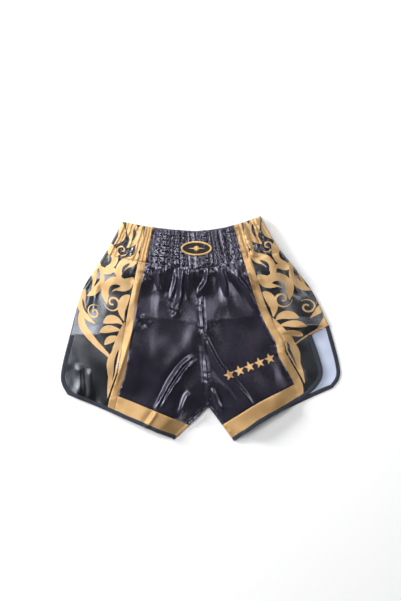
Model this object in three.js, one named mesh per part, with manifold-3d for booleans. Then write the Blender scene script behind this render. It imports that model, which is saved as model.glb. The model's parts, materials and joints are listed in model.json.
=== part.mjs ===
// Thai-style boxing shorts, laid flat with the front up. Millimetres; +X is the wearer's left,
// +Y runs from hem to waist, +Z points up from the surface that the shorts lie on.
import * as THREE from "three";
import Module from "manifold-3d";
import { mergeVertices } from "three/addons/utils/BufferGeometryUtils.js";

const wasm = await Module();
wasm.setup();

// Cloth, trims and clearances
const CLOTH = 1; // satin with its seam allowances, pressed flat
const SEAM = 0.3; // clearance along every seam
const LAYER_GAP = 0.5; // clearance between the waistband's layers, which curve over each other
const BINDING_WIDTH = 7;
const BINDING_THICK = 1.6; // folded tape, proud of the cloth on both faces
const STRIPE_WIDTH = 14;
const HEM_BAND_WIDTH = 35;

// Waistband: six elastics between the outer cloth and the turned-down facing
const WAISTBAND_WIDTH = 63;
const ELASTIC_COUNT = 6;
const ELASTIC_WIDTH = 8;
const ELASTIC_THICK = 0.8;
const FACING_THICK = 0.8;
const WAIST_INSET = 2.5; // from the waist edge to the first elastic
const ELASTIC_PITCH = (WAISTBAND_WIDTH - WAIST_INSET) / ELASTIC_COUNT;
const FOLD_CLEARANCE = 7; // from the side fold to the elastics' turn
const FACING_INSET = 2; // from the elastics' turn to the facing's side edge
const LINING_CLEARANCE = 0.8; // least room left between the two facings beside the fold

// Height of the front over the back
const FLAP_GAP = 1.2; // between the two free flaps
const WAIST_LOFT = 10;
const HEM_LOFT = 9;
const FOLD_RISE = 62; // distance from a side fold over which the loft is reached
const INSEAM_RISE = 52;
const TURN_RISE = 5; // distance over which the waistband stack rises at the fold
const BAND_FADE = 60; // distance below the waistband over which its thickness fades

// Body sizes: the waist edge, the centre seam and the crotch
const WAIST_CENTRE = [-8, 183];
const FRONT_RISE = 325; // waist edge to crotch along the centre seam
const CROTCH_X = 16;
const CROTCH_Y = WAIST_CENTRE[1] - FRONT_RISE;
const GUSSET_WIDTH = 52;
const GUSSET_LENGTH = 44;
const GUSSET_THICK = 0.6;

// One leg of the garment as laid. Every "out" is a distance outward from X = 0 and every "drop" a
// distance below the waist's centre.
const LEFT = {
  name: "left",
  sign: 1,
  waist: { out: 112, drop: -29 },
  bandEnd: { out: 146, drop: 30 },
  hip: { out: 204, drop: 105 },
  vent: { out: 239, drop: 174 },
  flap: { out: 259.5, drop: 258 },
  corner: { out: 247, drop: 289 },
  hemOuter: { out: 196, drop: 312 },
  hemMiddle: { out: 118, drop: 350 },
  hemInner: { out: 62, drop: 388 },
  frontOpen: 33, // how far the front flap is drawn in from the back flap
  flapHem: 27, // hem length that belongs to a flap
  stripeDrift: 0.18, // how far the stripe has moved out at the hem, as a share of the way to the side
};
const RIGHT = {
  name: "right",
  sign: -1,
  waist: { out: 144, drop: -18 },
  bandEnd: { out: 177, drop: 42 },
  hip: { out: 218, drop: 109 },
  vent: { out: 241, drop: 191 },
  flap: { out: 258, drop: 268 },
  corner: { out: 246, drop: 302 },
  hemOuter: { out: 196, drop: 322 },
  hemMiddle: { out: 112, drop: 357 },
  hemInner: { out: 47, drop: 385 },
  frontOpen: 1,
  flapHem: 52,
  stripeDrift: 0,
};
const NOTCH_DROP = 0.5; // the notch above a drawn-in flap falls by half its width
const HEM_DRAWN = 0.3; // share of the flap's drawing-in that the hem beside it takes up
const STRIPE_PLACE = 0.57; // stripe's inner seam, as a share of the way from centre to side
const DRIFT_START = 0.38; // share of the way down where a drifting stripe starts to move out

// Trims on the front
const BADGE = { x: -6.6, y: 150.5, width: 56, height: 26, thick: 0.8 };
const BADGE_RING = 2.6;
const BADGE_MOTIF = 15;
const BADGE_RAY = 38; // the motif's two sideways rays, from tip to tip
const MARK_COUNT = 5;
const MARK_SIZE = 19;
const MARK_PITCH = 20;
const MARK_ROW = { x: 91, overCrotch: 75, slope: 0.4 }; // middle of the row, and its climb in radians
const MARK_THICK = 0.5;

// Mesh steps
const STEPS_TO_HINGE = 11;
const STEPS_TO_BAND = 5;
const STEPS_IN_BAND = 5;
const STEPS_ACROSS = 7;
const CROSSING_STEPS = 5; // to find where two lines of a patch cross
const WAIST_STEPS = 12; // across each half of a facing or elastic
const CUTTER_REACH = 140;

const BACK_LOW = (BINDING_THICK - CLOTH) / 2;
const BACK_HIGH = BACK_LOW + CLOTH;
const LINING_DEPTH = 2 * LAYER_GAP + ELASTIC_THICK; // from the outer cloth to the facing
const LINING_STACK = 2 * (LINING_DEPTH + FACING_THICK) + LINING_CLEARANCE;
const BAND_LOW_Y = WAIST_CENTRE[1] - WAISTBAND_WIDTH;

const smooth = (t) => THREE.MathUtils.smoothstep(t, 0, 1);
const mix = THREE.MathUtils.lerp;

// ---- Outline curves of one leg -------------------------------------------------------------

function point(leg, { out, drop }) {
  return new THREE.Vector2(leg.sign * out, WAIST_CENTRE[1] - drop);
}

// Points on several curves in a row, by length.
function chain(curves) {
  const lengths = curves.map((c) => c.getLength());
  const total = lengths.reduce((a, b) => a + b);
  return (t) => {
    let left = t * total;
    for (const [i, curve] of curves.entries()) {
      if (left <= lengths[i] || i === curves.length - 1)
        return curve.getPointAt(Math.min(1, left / lengths[i]));
      left -= lengths[i];
    }
  };
}

function outlineOf(leg, layer) {
  const drawnIn = layer === "front" ? leg.frontOpen : 0;
  const shifted = ({ out, drop }, by) => point(leg, { out: out - by, drop });
  const centre = new THREE.Vector2(...WAIST_CENTRE);
  const crotch = new THREE.Vector2(CROTCH_X, CROTCH_Y);
  const waistCorner = point(leg, leg.waist);
  const vent = point(leg, leg.vent);
  const corner = shifted(leg.corner, drawnIn);
  const hemInner = point(leg, leg.hemInner);
  const flatPart = new THREE.Vector2(mix(centre.x, waistCorner.x, 0.5), centre.y + 2);
  const hingeTop = shifted({ out: leg.vent.out, drop: leg.vent.drop + drawnIn * NOTCH_DROP }, drawnIn);
  const hem = new THREE.SplineCurve([
    hemInner,
    point(leg, leg.hemMiddle),
    shifted(leg.hemOuter, drawnIn * HEM_DRAWN),
    corner,
  ]);
  return {
    leg,
    waist: new THREE.QuadraticBezierCurve(centre, flatPart, waistCorner),
    side: new THREE.SplineCurve([waistCorner, point(leg, leg.bandEnd), point(leg, leg.hip), vent]),
    notch: new THREE.LineCurve(vent, hingeTop),
    free: new THREE.SplineCurve([hingeTop, shifted(leg.flap, drawnIn), corner]),
    hem,
    centre: new THREE.LineCurve(centre, crotch),
    inseam: new THREE.LineCurve(crotch, hemInner),
    hinge: { top: hingeTop, bottom: hem.getPointAt(1 - leg.flapHem / hem.getLength()) },
  };
}

// The cloth of one leg and layer as a patch: u from the centre out to the side, v from waist to hem.
// Straight lines from waist to hem are bent towards the side's curve, and near the centre to the inseam.
function patchOf(outline) {
  const inner = chain([outline.centre, outline.inseam]);
  const outer = chain([outline.side, outline.notch, outline.free]);
  const bulge = (edge, u, v) => {
    const top = outline.waist.getPointAt(u);
    return edge(v).sub(top.lerp(outline.hem.getPointAt(u), v));
  };
  const at = (u, v) => {
    const place = outline.waist.getPointAt(u).lerp(outline.hem.getPointAt(u), v);
    place.addScaledVector(bulge(inner, 0, v), (1 - u) ** 2);
    return place.addScaledVector(bulge(outer, 1, v), u ** 3);
  };
  const fromWaist = (u, distance) => distance / at(u, 0).distanceTo(at(u, 1));
  const across = (v, distance) => distance / at(0, v).distanceTo(at(1, v));
  const freeLength = outline.free.getLength();
  const sideLength = outline.side.getLength() + outline.notch.getLength();
  return { ...outline, at, fromWaist, across, hingeShare: sideLength / (sideLength + freeLength) };
}

const patches = {};
for (const leg of [LEFT, RIGHT])
  for (const layer of ["front", "back"])
    patches[leg.name + layer] = patchOf(outlineOf(leg, layer));
const patchFor = (leg, layer) => patches[leg.name + layer];

// ---- Height of the front layer -----------------------------------------------------------------

// Points of a line that runs down the garment, for reading its x at a height y.
function runDown(curves) {
  const points = curves.flatMap((c) => c.getSpacedPoints(24));
  return (y) => {
    for (let i = 1; i < points.length; i++)
      if (points[i].y <= y) {
        const [a, b] = [points[i - 1], points[i]];
        return mix(a.x, b.x, THREE.MathUtils.clamp((a.y - y) / Math.max(1e-6, a.y - b.y), 0, 1));
      }
    return points[points.length - 1].x;
  };
}

for (const patch of Object.values(patches)) {
  const hingeLine = new THREE.LineCurve(patch.hinge.top, patch.hinge.bottom);
  patch.foldX = runDown([patch.side, patch.notch, hingeLine]);
  patch.inseamX = runDown([patch.inseam]);
}

const legAt = (x, y) => {
  const centreX = mix(WAIST_CENTRE[0], CROTCH_X, (WAIST_CENTRE[1] - y) / FRONT_RISE);
  return x > centreX ? LEFT : RIGHT;
};

// Underside of the front cloth.
function frontLow(x, y, leg = legAt(x, y)) {
  const patch = patchFor(leg, "front");
  const fromFold = leg.sign * (patch.foldX(y) - x);
  const fromInseam = y < CROTCH_Y
    ? leg.sign * (x - patch.inseamX(y))
    : Math.hypot(x - CROTCH_X, y - CROTCH_Y);
  const downTheLeg = (WAIST_CENTRE[1] - y) / FRONT_RISE;
  const loft = mix(WAIST_LOFT, HEM_LOFT, THREE.MathUtils.clamp(downTheLeg, 0, 1));
  const inBand = smooth((y - BAND_LOW_Y + BAND_FADE) / BAND_FADE);
  const stack = inBand * LINING_STACK * smooth(fromFold / TURN_RISE);
  const open = smooth(fromFold / FOLD_RISE) * smooth(fromInseam / INSEAM_RISE);
  return BACK_HIGH + FLAP_GAP + stack + loft * open;
}

const layers = {
  front: {
    low: frontLow,
    high: (x, y, leg) => frontLow(x, y, leg) + CLOTH,
  },
  back: {
    low: () => BACK_LOW,
    high: () => BACK_HIGH,
  },
};
const BINDING_PROUD = (BINDING_THICK - CLOTH) / 2;

// ---- Solids ------------------------------------------------------------------------------------

function geometryFrom(vertices, faces) {
  const geometry = new THREE.BufferGeometry();
  geometry.setAttribute("position", new THREE.Float32BufferAttribute(vertices.flat(), 3));
  geometry.setIndex(facesOut(vertices, faces).flat());
  return geometry;
}

// The faces as given, or all turned round where they enclose a negative volume.
function facesOut(vertices, faces) {
  let volume = 0;
  for (const [a, b, c] of faces) {
    const [p, q, r] = [a, b, c].map((i) => new THREE.Vector3(...vertices[i]));
    volume += p.dot(q.cross(r));
  }
  return volume < 0 ? faces.map(([a, b, c]) => [a, c, b]) : faces;
}

// A closed slab over a grid of plan points, between two heights.
function slab(grid, low, high) {
  const rows = grid.length;
  const columns = grid[0].length;
  const vertices = [];
  for (const height of [low, high])
    for (const row of grid)
      for (const p of row) vertices.push([p.x, p.y, height(p.x, p.y)]);
  const id = (level, i, j) => (level * rows + i) * columns + j;
  const faces = [];
  const quad = (a, b, c, d) => faces.push([a, b, c], [a, c, d]);
  for (let i = 0; i + 1 < rows; i++)
    for (let j = 0; j + 1 < columns; j++) {
      quad(id(1, i, j), id(1, i + 1, j), id(1, i + 1, j + 1), id(1, i, j + 1));
      quad(id(0, i, j), id(0, i, j + 1), id(0, i + 1, j + 1), id(0, i + 1, j));
    }
  for (let i = 0; i + 1 < rows; i++)
    for (const [j, turned] of [[0, false], [columns - 1, true]]) {
      const wall = [id(0, i, j), id(0, i + 1, j), id(1, i + 1, j), id(1, i, j)];
      quad(...(turned ? wall.reverse() : wall));
    }
  for (let j = 0; j + 1 < columns; j++)
    for (const [i, turned] of [[0, true], [rows - 1, false]]) {
      const wall = [id(0, i, j), id(0, i, j + 1), id(1, i, j + 1), id(1, i, j)];
      quad(...(turned ? wall.reverse() : wall));
    }
  return geometryFrom(vertices, faces);
}

function toSolid(geometry) {
  const bare = geometry.index ? geometry.clone() : mergeVertices(geometry.clone());
  bare.deleteAttribute("normal");
  bare.deleteAttribute("uv");
  const merged = mergeVertices(bare);
  return new wasm.Manifold(
    new wasm.Mesh({
      numProp: 3,
      vertProperties: merged.attributes.position.array,
      triVerts: new Uint32Array(merged.index.array),
    }),
  );
}

// The largest body of a solid, which drops the slivers that a cut leaves at its end.
function fromSolid(solid) {
  const bodies = solid.decompose().sort((a, b) => b.volume() - a.volume());
  const mesh = bodies[0].getMesh();
  const geometry = new THREE.BufferGeometry();
  geometry.setAttribute("position", new THREE.BufferAttribute(mesh.vertProperties, 3));
  geometry.setIndex(new THREE.BufferAttribute(mesh.triVerts, 1));
  return geometry;
}

// Everything on the free side of a flap's fold, moved outward by the clearance given.
function freeSide(patch, clearance) {
  const { top, bottom } = patch.hinge;
  const along = bottom.clone().sub(top).normalize();
  const outward = new THREE.Vector2(-along.y, along.x).multiplyScalar(patch.leg.sign);
  const start = top.clone().addScaledVector(outward, clearance);
  const end = bottom.clone().addScaledVector(outward, clearance).addScaledVector(along, BINDING_WIDTH * 3);
  const corners = [
    start,
    end,
    end.clone().addScaledVector(outward, CUTTER_REACH),
    start.clone().addScaledVector(outward, CUTTER_REACH),
  ];
  const prism = new THREE.ExtrudeGeometry(new THREE.Shape(corners), { depth: 80, bevelEnabled: false });
  return toSolid(prism.translate(0, 0, -40));
}

// ---- Materials ---------------------------------------------------------------------------------

function material(color, roughness, metalness = 0) {
  return new THREE.MeshStandardMaterial({ color, roughness, metalness });
}

const materials = {
  satin: () => material(0x2b2935, 0.35),
  gold: () => material(0xd9a95c, 0.4),
  print: () => material(0x9a7645, 0.45),
  binding: () => material(0x1c2029, 0.6),
  elastic: () => material(0xe6e4de, 0.8),
};

const shorts = new THREE.Group();
shorts.name = "boxing_shorts";

function add(name, geometry, finish) {
  const mesh = new THREE.Mesh(geometry, materials[finish]());
  mesh.name = name;
  shorts.add(mesh);
}

// ---- Cloth panels ------------------------------------------------------------------------------

// Evenly spread lines between two seams, each a place on one axis of a patch given the other.
function spread(from, to, steps) {
  const lines = [];
  for (let i = 0; i <= steps; i++) lines.push((t) => mix(from(t), to(t), i / steps));
  return lines;
}

const joined = (...groups) => groups.reduce((all, group) => [...all, ...group.slice(1)]);

// Plan points where the lines across a patch meet the lines down it.
function gridOver(patch, across, down) {
  const crossing = (uOf, vOf) => {
    let u = STRIPE_PLACE;
    for (let i = 0; i < CROSSING_STEPS; i++) u = uOf(vOf(u));
    return patch.at(u, vOf(u));
  };
  return down.map((vOf) => across.map((uOf) => crossing(uOf, vOf)));
}

function seamsOf(patch) {
  const drifted = (v) => smooth((v - DRIFT_START) / (1 - DRIFT_START));
  const stripeInner = (v) => STRIPE_PLACE + patch.leg.stripeDrift * drifted(v);
  const stripeOuter = (v) => stripeInner(v) + patch.across(v, STRIPE_WIDTH);
  const side = () => 1;
  const turn = (v) => 1 - patch.across(v, TURN_RISE);
  const waist = () => 0;
  const hinge = () => patch.hingeShare;
  const bandEdge = (u) => 1 - patch.fromWaist(u, HEM_BAND_WIDTH);
  const body = joined(spread(waist, hinge, STEPS_TO_HINGE), spread(hinge, bandEdge, STEPS_TO_BAND));
  return {
    panelAcross: spread((v) => patch.across(v, SEAM / 2), (v) => stripeInner(v) - patch.across(v, SEAM),
      STEPS_ACROSS),
    stripeAcross: spread(stripeInner, stripeOuter, 1),
    sideAcross: joined(spread((v) => stripeOuter(v) + patch.across(v, SEAM), turn, STEPS_ACROSS),
      spread(turn, side, 2)),
    body,
    panelBody: [...body.slice(0, -1), (u) => bandEdge(u) - patch.fromWaist(u, SEAM)],
    band: spread(bandEdge, () => 1, STEPS_IN_BAND),
  };
}

function addLeg(leg, layer) {
  const patch = patchFor(leg, layer);
  const seams = seamsOf(patch);
  const name = (piece) => `${layer}_${piece}_${leg.name}`;
  const low = (x, y) => layers[layer].low(x, y, leg);
  const high = (x, y) => layers[layer].high(x, y, leg);
  const whole = joined(seams.body, seams.band);

  add(name("panel"), slab(gridOver(patch, seams.panelAcross, seams.panelBody), low, high), "satin");
  add(name("hem_band"), slab(gridOver(patch, seams.panelAcross, seams.band), low, high), "gold");
  add(name("stripe"), slab(gridOver(patch, seams.stripeAcross, whole), low, high), "gold");

  const side = toSolid(slab(gridOver(patch, seams.sideAcross, whole), low, high));
  add(name("side_panel"), fromSolid(side.subtract(freeSide(patch, -SEAM))), "print");
  add(name("flap"), fromSolid(side.intersect(freeSide(patch, SEAM))), "satin");

  const tapeLow = (x, y) => low(x, y) - BINDING_PROUD;
  const tapeHigh = (x, y) => high(x, y) + BINDING_PROUD;
  const tape = toSolid(slab(bindingGrid(patch, seams, whole), tapeLow, tapeHigh));
  add(name("hem_binding"), fromSolid(tape.subtract(freeSide(patch, -SEAM))), "binding");
  add(name("flap_binding"), fromSolid(tape.intersect(freeSide(patch, SEAM))), "binding");
}

// Tape beyond the cloth's free edge, down the vent, round its corner and along the hem. It is set out
// from the same points as the cloth's own edge, so the two stay the clearance apart.
function bindingGrid(patch, seams, whole) {
  const ventPart = whole.slice(STEPS_TO_HINGE).map((vOf) => patch.at(1, vOf(1)));
  const lines = [...seams.panelAcross, ...seams.stripeAcross, ...seams.sideAcross.slice(1)];
  const hemPart = lines.map((uOf) => patch.at(uOf(1), 1)).reverse();
  const edge = [...ventPart, ...hemPart].filter(
    (p, i, all) => i === 0 || p.distanceTo(all[i - 1]) > 2 * SEAM,
  );
  return edge.map((p, i) => {
    const along = edge[Math.min(i + 1, edge.length - 1)].clone().sub(edge[Math.max(i - 1, 0)]);
    const outward = new THREE.Vector2(-along.y, along.x).normalize().multiplyScalar(patch.leg.sign);
    return [SEAM, SEAM + BINDING_WIDTH].map((d) => p.clone().addScaledVector(outward, d));
  });
}

for (const leg of [LEFT, RIGHT])
  for (const layer of ["front", "back"]) addLeg(leg, layer);

// ---- Waistband ---------------------------------------------------------------------------------

// Places along the waistband from the left fold to the right fold, at a distance below the edge.
function acrossWaist(below, clearance) {
  const row = [];
  for (const leg of [LEFT, RIGHT]) {
    const patch = patchFor(leg, "front");
    const last = 1 - patch.across(0, clearance);
    for (let i = 0; i <= WAIST_STEPS; i++) {
      const share = leg === LEFT ? 1 - i / WAIST_STEPS : i / WAIST_STEPS;
      if (leg === RIGHT && i === 0) continue;
      const u = share * last;
      row.push(patch.at(u, patch.fromWaist(u, below)));
    }
  }
  return row;
}

function addFacings() {
  const drops = [0, 1, 2, 3].map((i) => 0.5 + (i * (WAISTBAND_WIDTH - 1)) / 3);
  const grid = drops.map((drop) => acrossWaist(drop, FOLD_CLEARANCE + FACING_INSET));
  const top = (x, y) => frontLow(x, y) - LINING_DEPTH;
  add("waist_facing_front", slab(grid, (x, y) => top(x, y) - FACING_THICK, top), "satin");
  const under = BACK_HIGH + LINING_DEPTH;
  add("waist_facing_back", slab(grid, () => under, () => under + FACING_THICK), "satin");
}

// One elastic: a flat band that runs across the front, turns at the fold and returns at the back.
function elasticLoop(below) {
  const edges = [below, below + ELASTIC_WIDTH];
  const outer = edges.map((drop) => acrossWaist(drop, FOLD_CLEARANCE));
  const inner = edges.map((drop) => acrossWaist(drop, FOLD_CLEARANCE + ELASTIC_THICK));
  const last = outer[0].length - 1;
  const ring = [];
  const station = (i, outerHeight, innerHeight) => {
    const from = i === 0 || i === last ? inner : outer;
    const corner = (p, height) => [p.x, p.y, height(p.x, p.y)];
    ring.push([
      corner(outer[0][i], outerHeight),
      corner(outer[1][i], outerHeight),
      corner(from[1][i], innerHeight),
      corner(from[0][i], innerHeight),
    ]);
  };
  const frontOuter = (x, y) => frontLow(x, y) - LAYER_GAP;
  const frontInner = (x, y) => frontOuter(x, y) - ELASTIC_THICK;
  const backOuter = () => BACK_HIGH + LAYER_GAP;
  const backInner = () => BACK_HIGH + LAYER_GAP + ELASTIC_THICK;
  for (let i = 0; i <= last; i++) station(i, frontOuter, frontInner);
  for (let i = last; i >= 0; i--) station(i, backOuter, backInner);
  const faces = [];
  ring.forEach((_, s) => {
    const next = (s + 1) % ring.length;
    for (let k = 0; k < 4; k++) {
      const [a, b] = [s * 4 + k, s * 4 + ((k + 1) % 4)];
      const [c, d] = [next * 4 + ((k + 1) % 4), next * 4 + k];
      faces.push([a, b, c], [a, c, d]);
    }
  });
  return geometryFrom(ring.flat(), faces);
}

addFacings();
for (let i = 0; i < ELASTIC_COUNT; i++)
  add(`elastic_${i + 1}`, elasticLoop(WAIST_INSET + i * ELASTIC_PITCH), "elastic");

// ---- Crotch gusset -----------------------------------------------------------------------------

function addGusset() {
  const rest = BACK_HIGH + SEAM;
  const middle = new THREE.Vector2(CROTCH_X, CROTCH_Y + GUSSET_LENGTH / 2 + SEAM);
  const outline = new THREE.Shape([
    new THREE.Vector2(middle.x, middle.y - GUSSET_LENGTH / 2),
    new THREE.Vector2(middle.x + GUSSET_WIDTH / 2, middle.y),
    new THREE.Vector2(middle.x, middle.y + GUSSET_LENGTH / 2),
    new THREE.Vector2(middle.x - GUSSET_WIDTH / 2, middle.y),
  ]);
  const plate = new THREE.ExtrudeGeometry(outline, { depth: GUSSET_THICK, bevelEnabled: false });
  add("crotch_gusset", plate.translate(0, 0, rest), "satin");
}
addGusset();

// ---- Badge and leg marks -----------------------------------------------------------------------

// A flat piece laid on the front cloth at a clearance over it.
function onFront(geometry, clearance) {
  const place = geometry.attributes.position;
  for (let i = 0; i < place.count; i++) {
    const [x, y] = [place.getX(i), place.getY(i)];
    place.setZ(i, place.getZ(i) + frontLow(x, y) + CLOTH + clearance);
  }
  return geometry;
}

function oval(width, height) {
  const shape = new THREE.Shape();
  shape.absellipse(BADGE.x, BADGE.y, width / 2, height / 2, 0, 2 * Math.PI);
  return shape;
}

function star(x, y, points, outer, inner, turn, sideways = outer) {
  const corners = [];
  for (let i = 0; i < 2 * points; i++) {
    const angle = turn + Math.PI / 2 + (i * Math.PI) / points;
    const level = Math.abs(Math.sin(angle)) < 1e-6;
    const reach = i % 2 ? inner : level ? sideways : outer;
    corners.push(new THREE.Vector2(x + reach * Math.cos(angle), y + reach * Math.sin(angle)));
  }
  return new THREE.Shape(corners);
}

function addBadge() {
  const plate = (shape, depth) =>
    new THREE.ExtrudeGeometry(shape, { depth, bevelEnabled: false, curveSegments: 24 });
  add("badge_base", onFront(plate(oval(BADGE.width, BADGE.height), BADGE.thick), SEAM), "binding");
  const ring = oval(BADGE.width - 1, BADGE.height - 1);
  ring.holes.push(oval(BADGE.width - 1 - 2 * BADGE_RING, BADGE.height - 1 - 2 * BADGE_RING));
  const over = 2 * SEAM + BADGE.thick;
  add("badge_ring", onFront(plate(ring, MARK_THICK), over), "gold");
  const motif = star(BADGE.x, BADGE.y, 8, BADGE_MOTIF / 2, BADGE_MOTIF / 4, 0, BADGE_RAY / 2);
  add("badge_motif", onFront(plate(motif, MARK_THICK), over), "gold");
}

function addMarks() {
  for (let i = 0; i < MARK_COUNT; i++) {
    const along = (i - (MARK_COUNT - 1) / 2) * MARK_PITCH;
    const x = MARK_ROW.x + along * Math.cos(MARK_ROW.slope);
    const y = CROTCH_Y + MARK_ROW.overCrotch + along * Math.sin(MARK_ROW.slope);
    const shape = star(x, y, 5, MARK_SIZE / 2, MARK_SIZE / 4.4, MARK_ROW.slope);
    const plate = new THREE.ExtrudeGeometry(shape, { depth: MARK_THICK, bevelEnabled: false });
    add(`leg_mark_${i + 1}`, onFront(plate, SEAM), "gold");
  }
}

addBadge();
addMarks();

// The origin is under the middle of the whole garment, on the surface that it lies on.
const middle = new THREE.Box3().setFromObject(shorts).getCenter(new THREE.Vector3());
shorts.position.set(-middle.x, -middle.y, 0);

export default shorts;
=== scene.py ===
# %% [markdown]
# # Satin boxing shorts, laid flat
# The shorts lie on their back with the front up. Every length here is in millimetres until a mesh is
# made, because a garment is cut and sewn in millimetres. +X is the wearer's left and +Y is the waist.

import json
import math

import bpy
import numpy as np
from mathutils import Vector
from mathutils.geometry import delaunay_2d_cdt
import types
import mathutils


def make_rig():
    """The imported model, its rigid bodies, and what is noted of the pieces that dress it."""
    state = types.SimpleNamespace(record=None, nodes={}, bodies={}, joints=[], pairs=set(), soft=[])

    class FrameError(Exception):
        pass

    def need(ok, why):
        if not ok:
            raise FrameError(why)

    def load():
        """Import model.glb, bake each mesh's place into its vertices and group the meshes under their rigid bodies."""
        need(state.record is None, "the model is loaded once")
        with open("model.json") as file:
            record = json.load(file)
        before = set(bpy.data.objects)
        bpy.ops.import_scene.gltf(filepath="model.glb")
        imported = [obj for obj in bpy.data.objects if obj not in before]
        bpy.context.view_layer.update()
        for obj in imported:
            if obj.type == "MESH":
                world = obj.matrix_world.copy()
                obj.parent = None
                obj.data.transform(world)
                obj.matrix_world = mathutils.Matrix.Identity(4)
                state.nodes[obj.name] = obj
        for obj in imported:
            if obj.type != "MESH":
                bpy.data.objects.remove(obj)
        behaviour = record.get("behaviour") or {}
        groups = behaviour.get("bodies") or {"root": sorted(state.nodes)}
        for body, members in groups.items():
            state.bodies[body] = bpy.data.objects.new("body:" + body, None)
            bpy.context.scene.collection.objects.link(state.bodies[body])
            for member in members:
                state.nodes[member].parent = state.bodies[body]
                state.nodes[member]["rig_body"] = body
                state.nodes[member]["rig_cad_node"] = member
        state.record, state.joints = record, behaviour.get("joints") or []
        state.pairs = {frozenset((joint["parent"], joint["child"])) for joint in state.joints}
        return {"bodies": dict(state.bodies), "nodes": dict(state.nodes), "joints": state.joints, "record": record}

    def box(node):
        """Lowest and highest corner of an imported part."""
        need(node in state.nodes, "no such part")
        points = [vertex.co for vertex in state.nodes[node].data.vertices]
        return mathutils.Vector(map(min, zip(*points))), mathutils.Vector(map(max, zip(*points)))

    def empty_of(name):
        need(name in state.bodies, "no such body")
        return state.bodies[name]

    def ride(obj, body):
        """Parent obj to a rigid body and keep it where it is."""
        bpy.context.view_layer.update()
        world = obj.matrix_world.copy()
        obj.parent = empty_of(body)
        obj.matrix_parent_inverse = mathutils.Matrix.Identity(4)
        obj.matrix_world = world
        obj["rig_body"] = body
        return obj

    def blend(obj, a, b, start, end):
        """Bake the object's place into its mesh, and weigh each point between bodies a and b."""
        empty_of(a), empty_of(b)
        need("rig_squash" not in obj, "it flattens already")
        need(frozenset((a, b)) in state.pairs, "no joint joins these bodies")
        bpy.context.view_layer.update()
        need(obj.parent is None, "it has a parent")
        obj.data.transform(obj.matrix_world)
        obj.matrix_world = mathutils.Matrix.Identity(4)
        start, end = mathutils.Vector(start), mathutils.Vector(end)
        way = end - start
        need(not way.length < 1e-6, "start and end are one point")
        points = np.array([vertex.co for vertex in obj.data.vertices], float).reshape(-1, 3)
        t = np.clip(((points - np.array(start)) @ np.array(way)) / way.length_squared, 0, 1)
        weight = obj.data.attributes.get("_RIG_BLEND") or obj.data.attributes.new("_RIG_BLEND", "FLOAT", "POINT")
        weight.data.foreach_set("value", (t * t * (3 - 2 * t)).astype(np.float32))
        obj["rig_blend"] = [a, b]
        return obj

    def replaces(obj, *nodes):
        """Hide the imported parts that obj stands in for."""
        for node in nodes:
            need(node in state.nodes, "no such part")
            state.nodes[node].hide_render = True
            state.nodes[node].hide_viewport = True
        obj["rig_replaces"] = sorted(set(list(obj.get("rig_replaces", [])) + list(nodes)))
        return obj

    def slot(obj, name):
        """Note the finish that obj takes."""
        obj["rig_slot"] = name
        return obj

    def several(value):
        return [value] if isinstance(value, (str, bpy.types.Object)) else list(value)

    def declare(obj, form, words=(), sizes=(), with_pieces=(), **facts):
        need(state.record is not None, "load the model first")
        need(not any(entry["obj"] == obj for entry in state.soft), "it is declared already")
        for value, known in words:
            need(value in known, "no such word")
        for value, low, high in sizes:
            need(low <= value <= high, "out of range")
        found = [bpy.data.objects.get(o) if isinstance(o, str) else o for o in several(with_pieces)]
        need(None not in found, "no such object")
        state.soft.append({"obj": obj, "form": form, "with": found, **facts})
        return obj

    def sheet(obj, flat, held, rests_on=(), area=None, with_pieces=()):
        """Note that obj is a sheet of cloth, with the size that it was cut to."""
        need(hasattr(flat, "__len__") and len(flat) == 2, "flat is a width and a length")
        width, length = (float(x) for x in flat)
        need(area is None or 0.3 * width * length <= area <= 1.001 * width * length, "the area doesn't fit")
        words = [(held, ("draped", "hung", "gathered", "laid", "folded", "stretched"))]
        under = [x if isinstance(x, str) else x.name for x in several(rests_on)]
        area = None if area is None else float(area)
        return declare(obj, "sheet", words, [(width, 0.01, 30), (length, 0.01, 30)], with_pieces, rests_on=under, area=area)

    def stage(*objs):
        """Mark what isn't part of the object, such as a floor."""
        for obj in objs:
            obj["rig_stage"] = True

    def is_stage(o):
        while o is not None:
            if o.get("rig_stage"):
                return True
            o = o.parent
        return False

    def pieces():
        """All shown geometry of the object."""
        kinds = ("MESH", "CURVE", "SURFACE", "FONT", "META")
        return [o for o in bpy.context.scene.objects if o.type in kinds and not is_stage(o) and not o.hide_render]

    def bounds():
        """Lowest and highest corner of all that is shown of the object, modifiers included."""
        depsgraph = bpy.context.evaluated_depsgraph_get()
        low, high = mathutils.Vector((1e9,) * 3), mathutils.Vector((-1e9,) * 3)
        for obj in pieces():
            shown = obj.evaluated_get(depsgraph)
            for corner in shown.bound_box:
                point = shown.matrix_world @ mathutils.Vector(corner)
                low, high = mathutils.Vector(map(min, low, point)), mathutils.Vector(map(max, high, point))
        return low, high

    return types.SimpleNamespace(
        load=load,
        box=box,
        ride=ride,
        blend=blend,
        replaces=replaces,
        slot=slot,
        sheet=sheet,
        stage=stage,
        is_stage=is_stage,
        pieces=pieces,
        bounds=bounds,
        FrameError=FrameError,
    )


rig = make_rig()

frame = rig.load()
CAD_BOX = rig.bounds()
MM = 0.001
print("the frame holds", len(frame["nodes"]), "nodes")

# %% [markdown]
# ## Sizes of the cut
# These are the sizes of the garment as it is sewn and laid. The two legs lie a little differently, so
# each has its own row of places: how far out from the middle, and how far down from the waist's centre.

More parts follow.
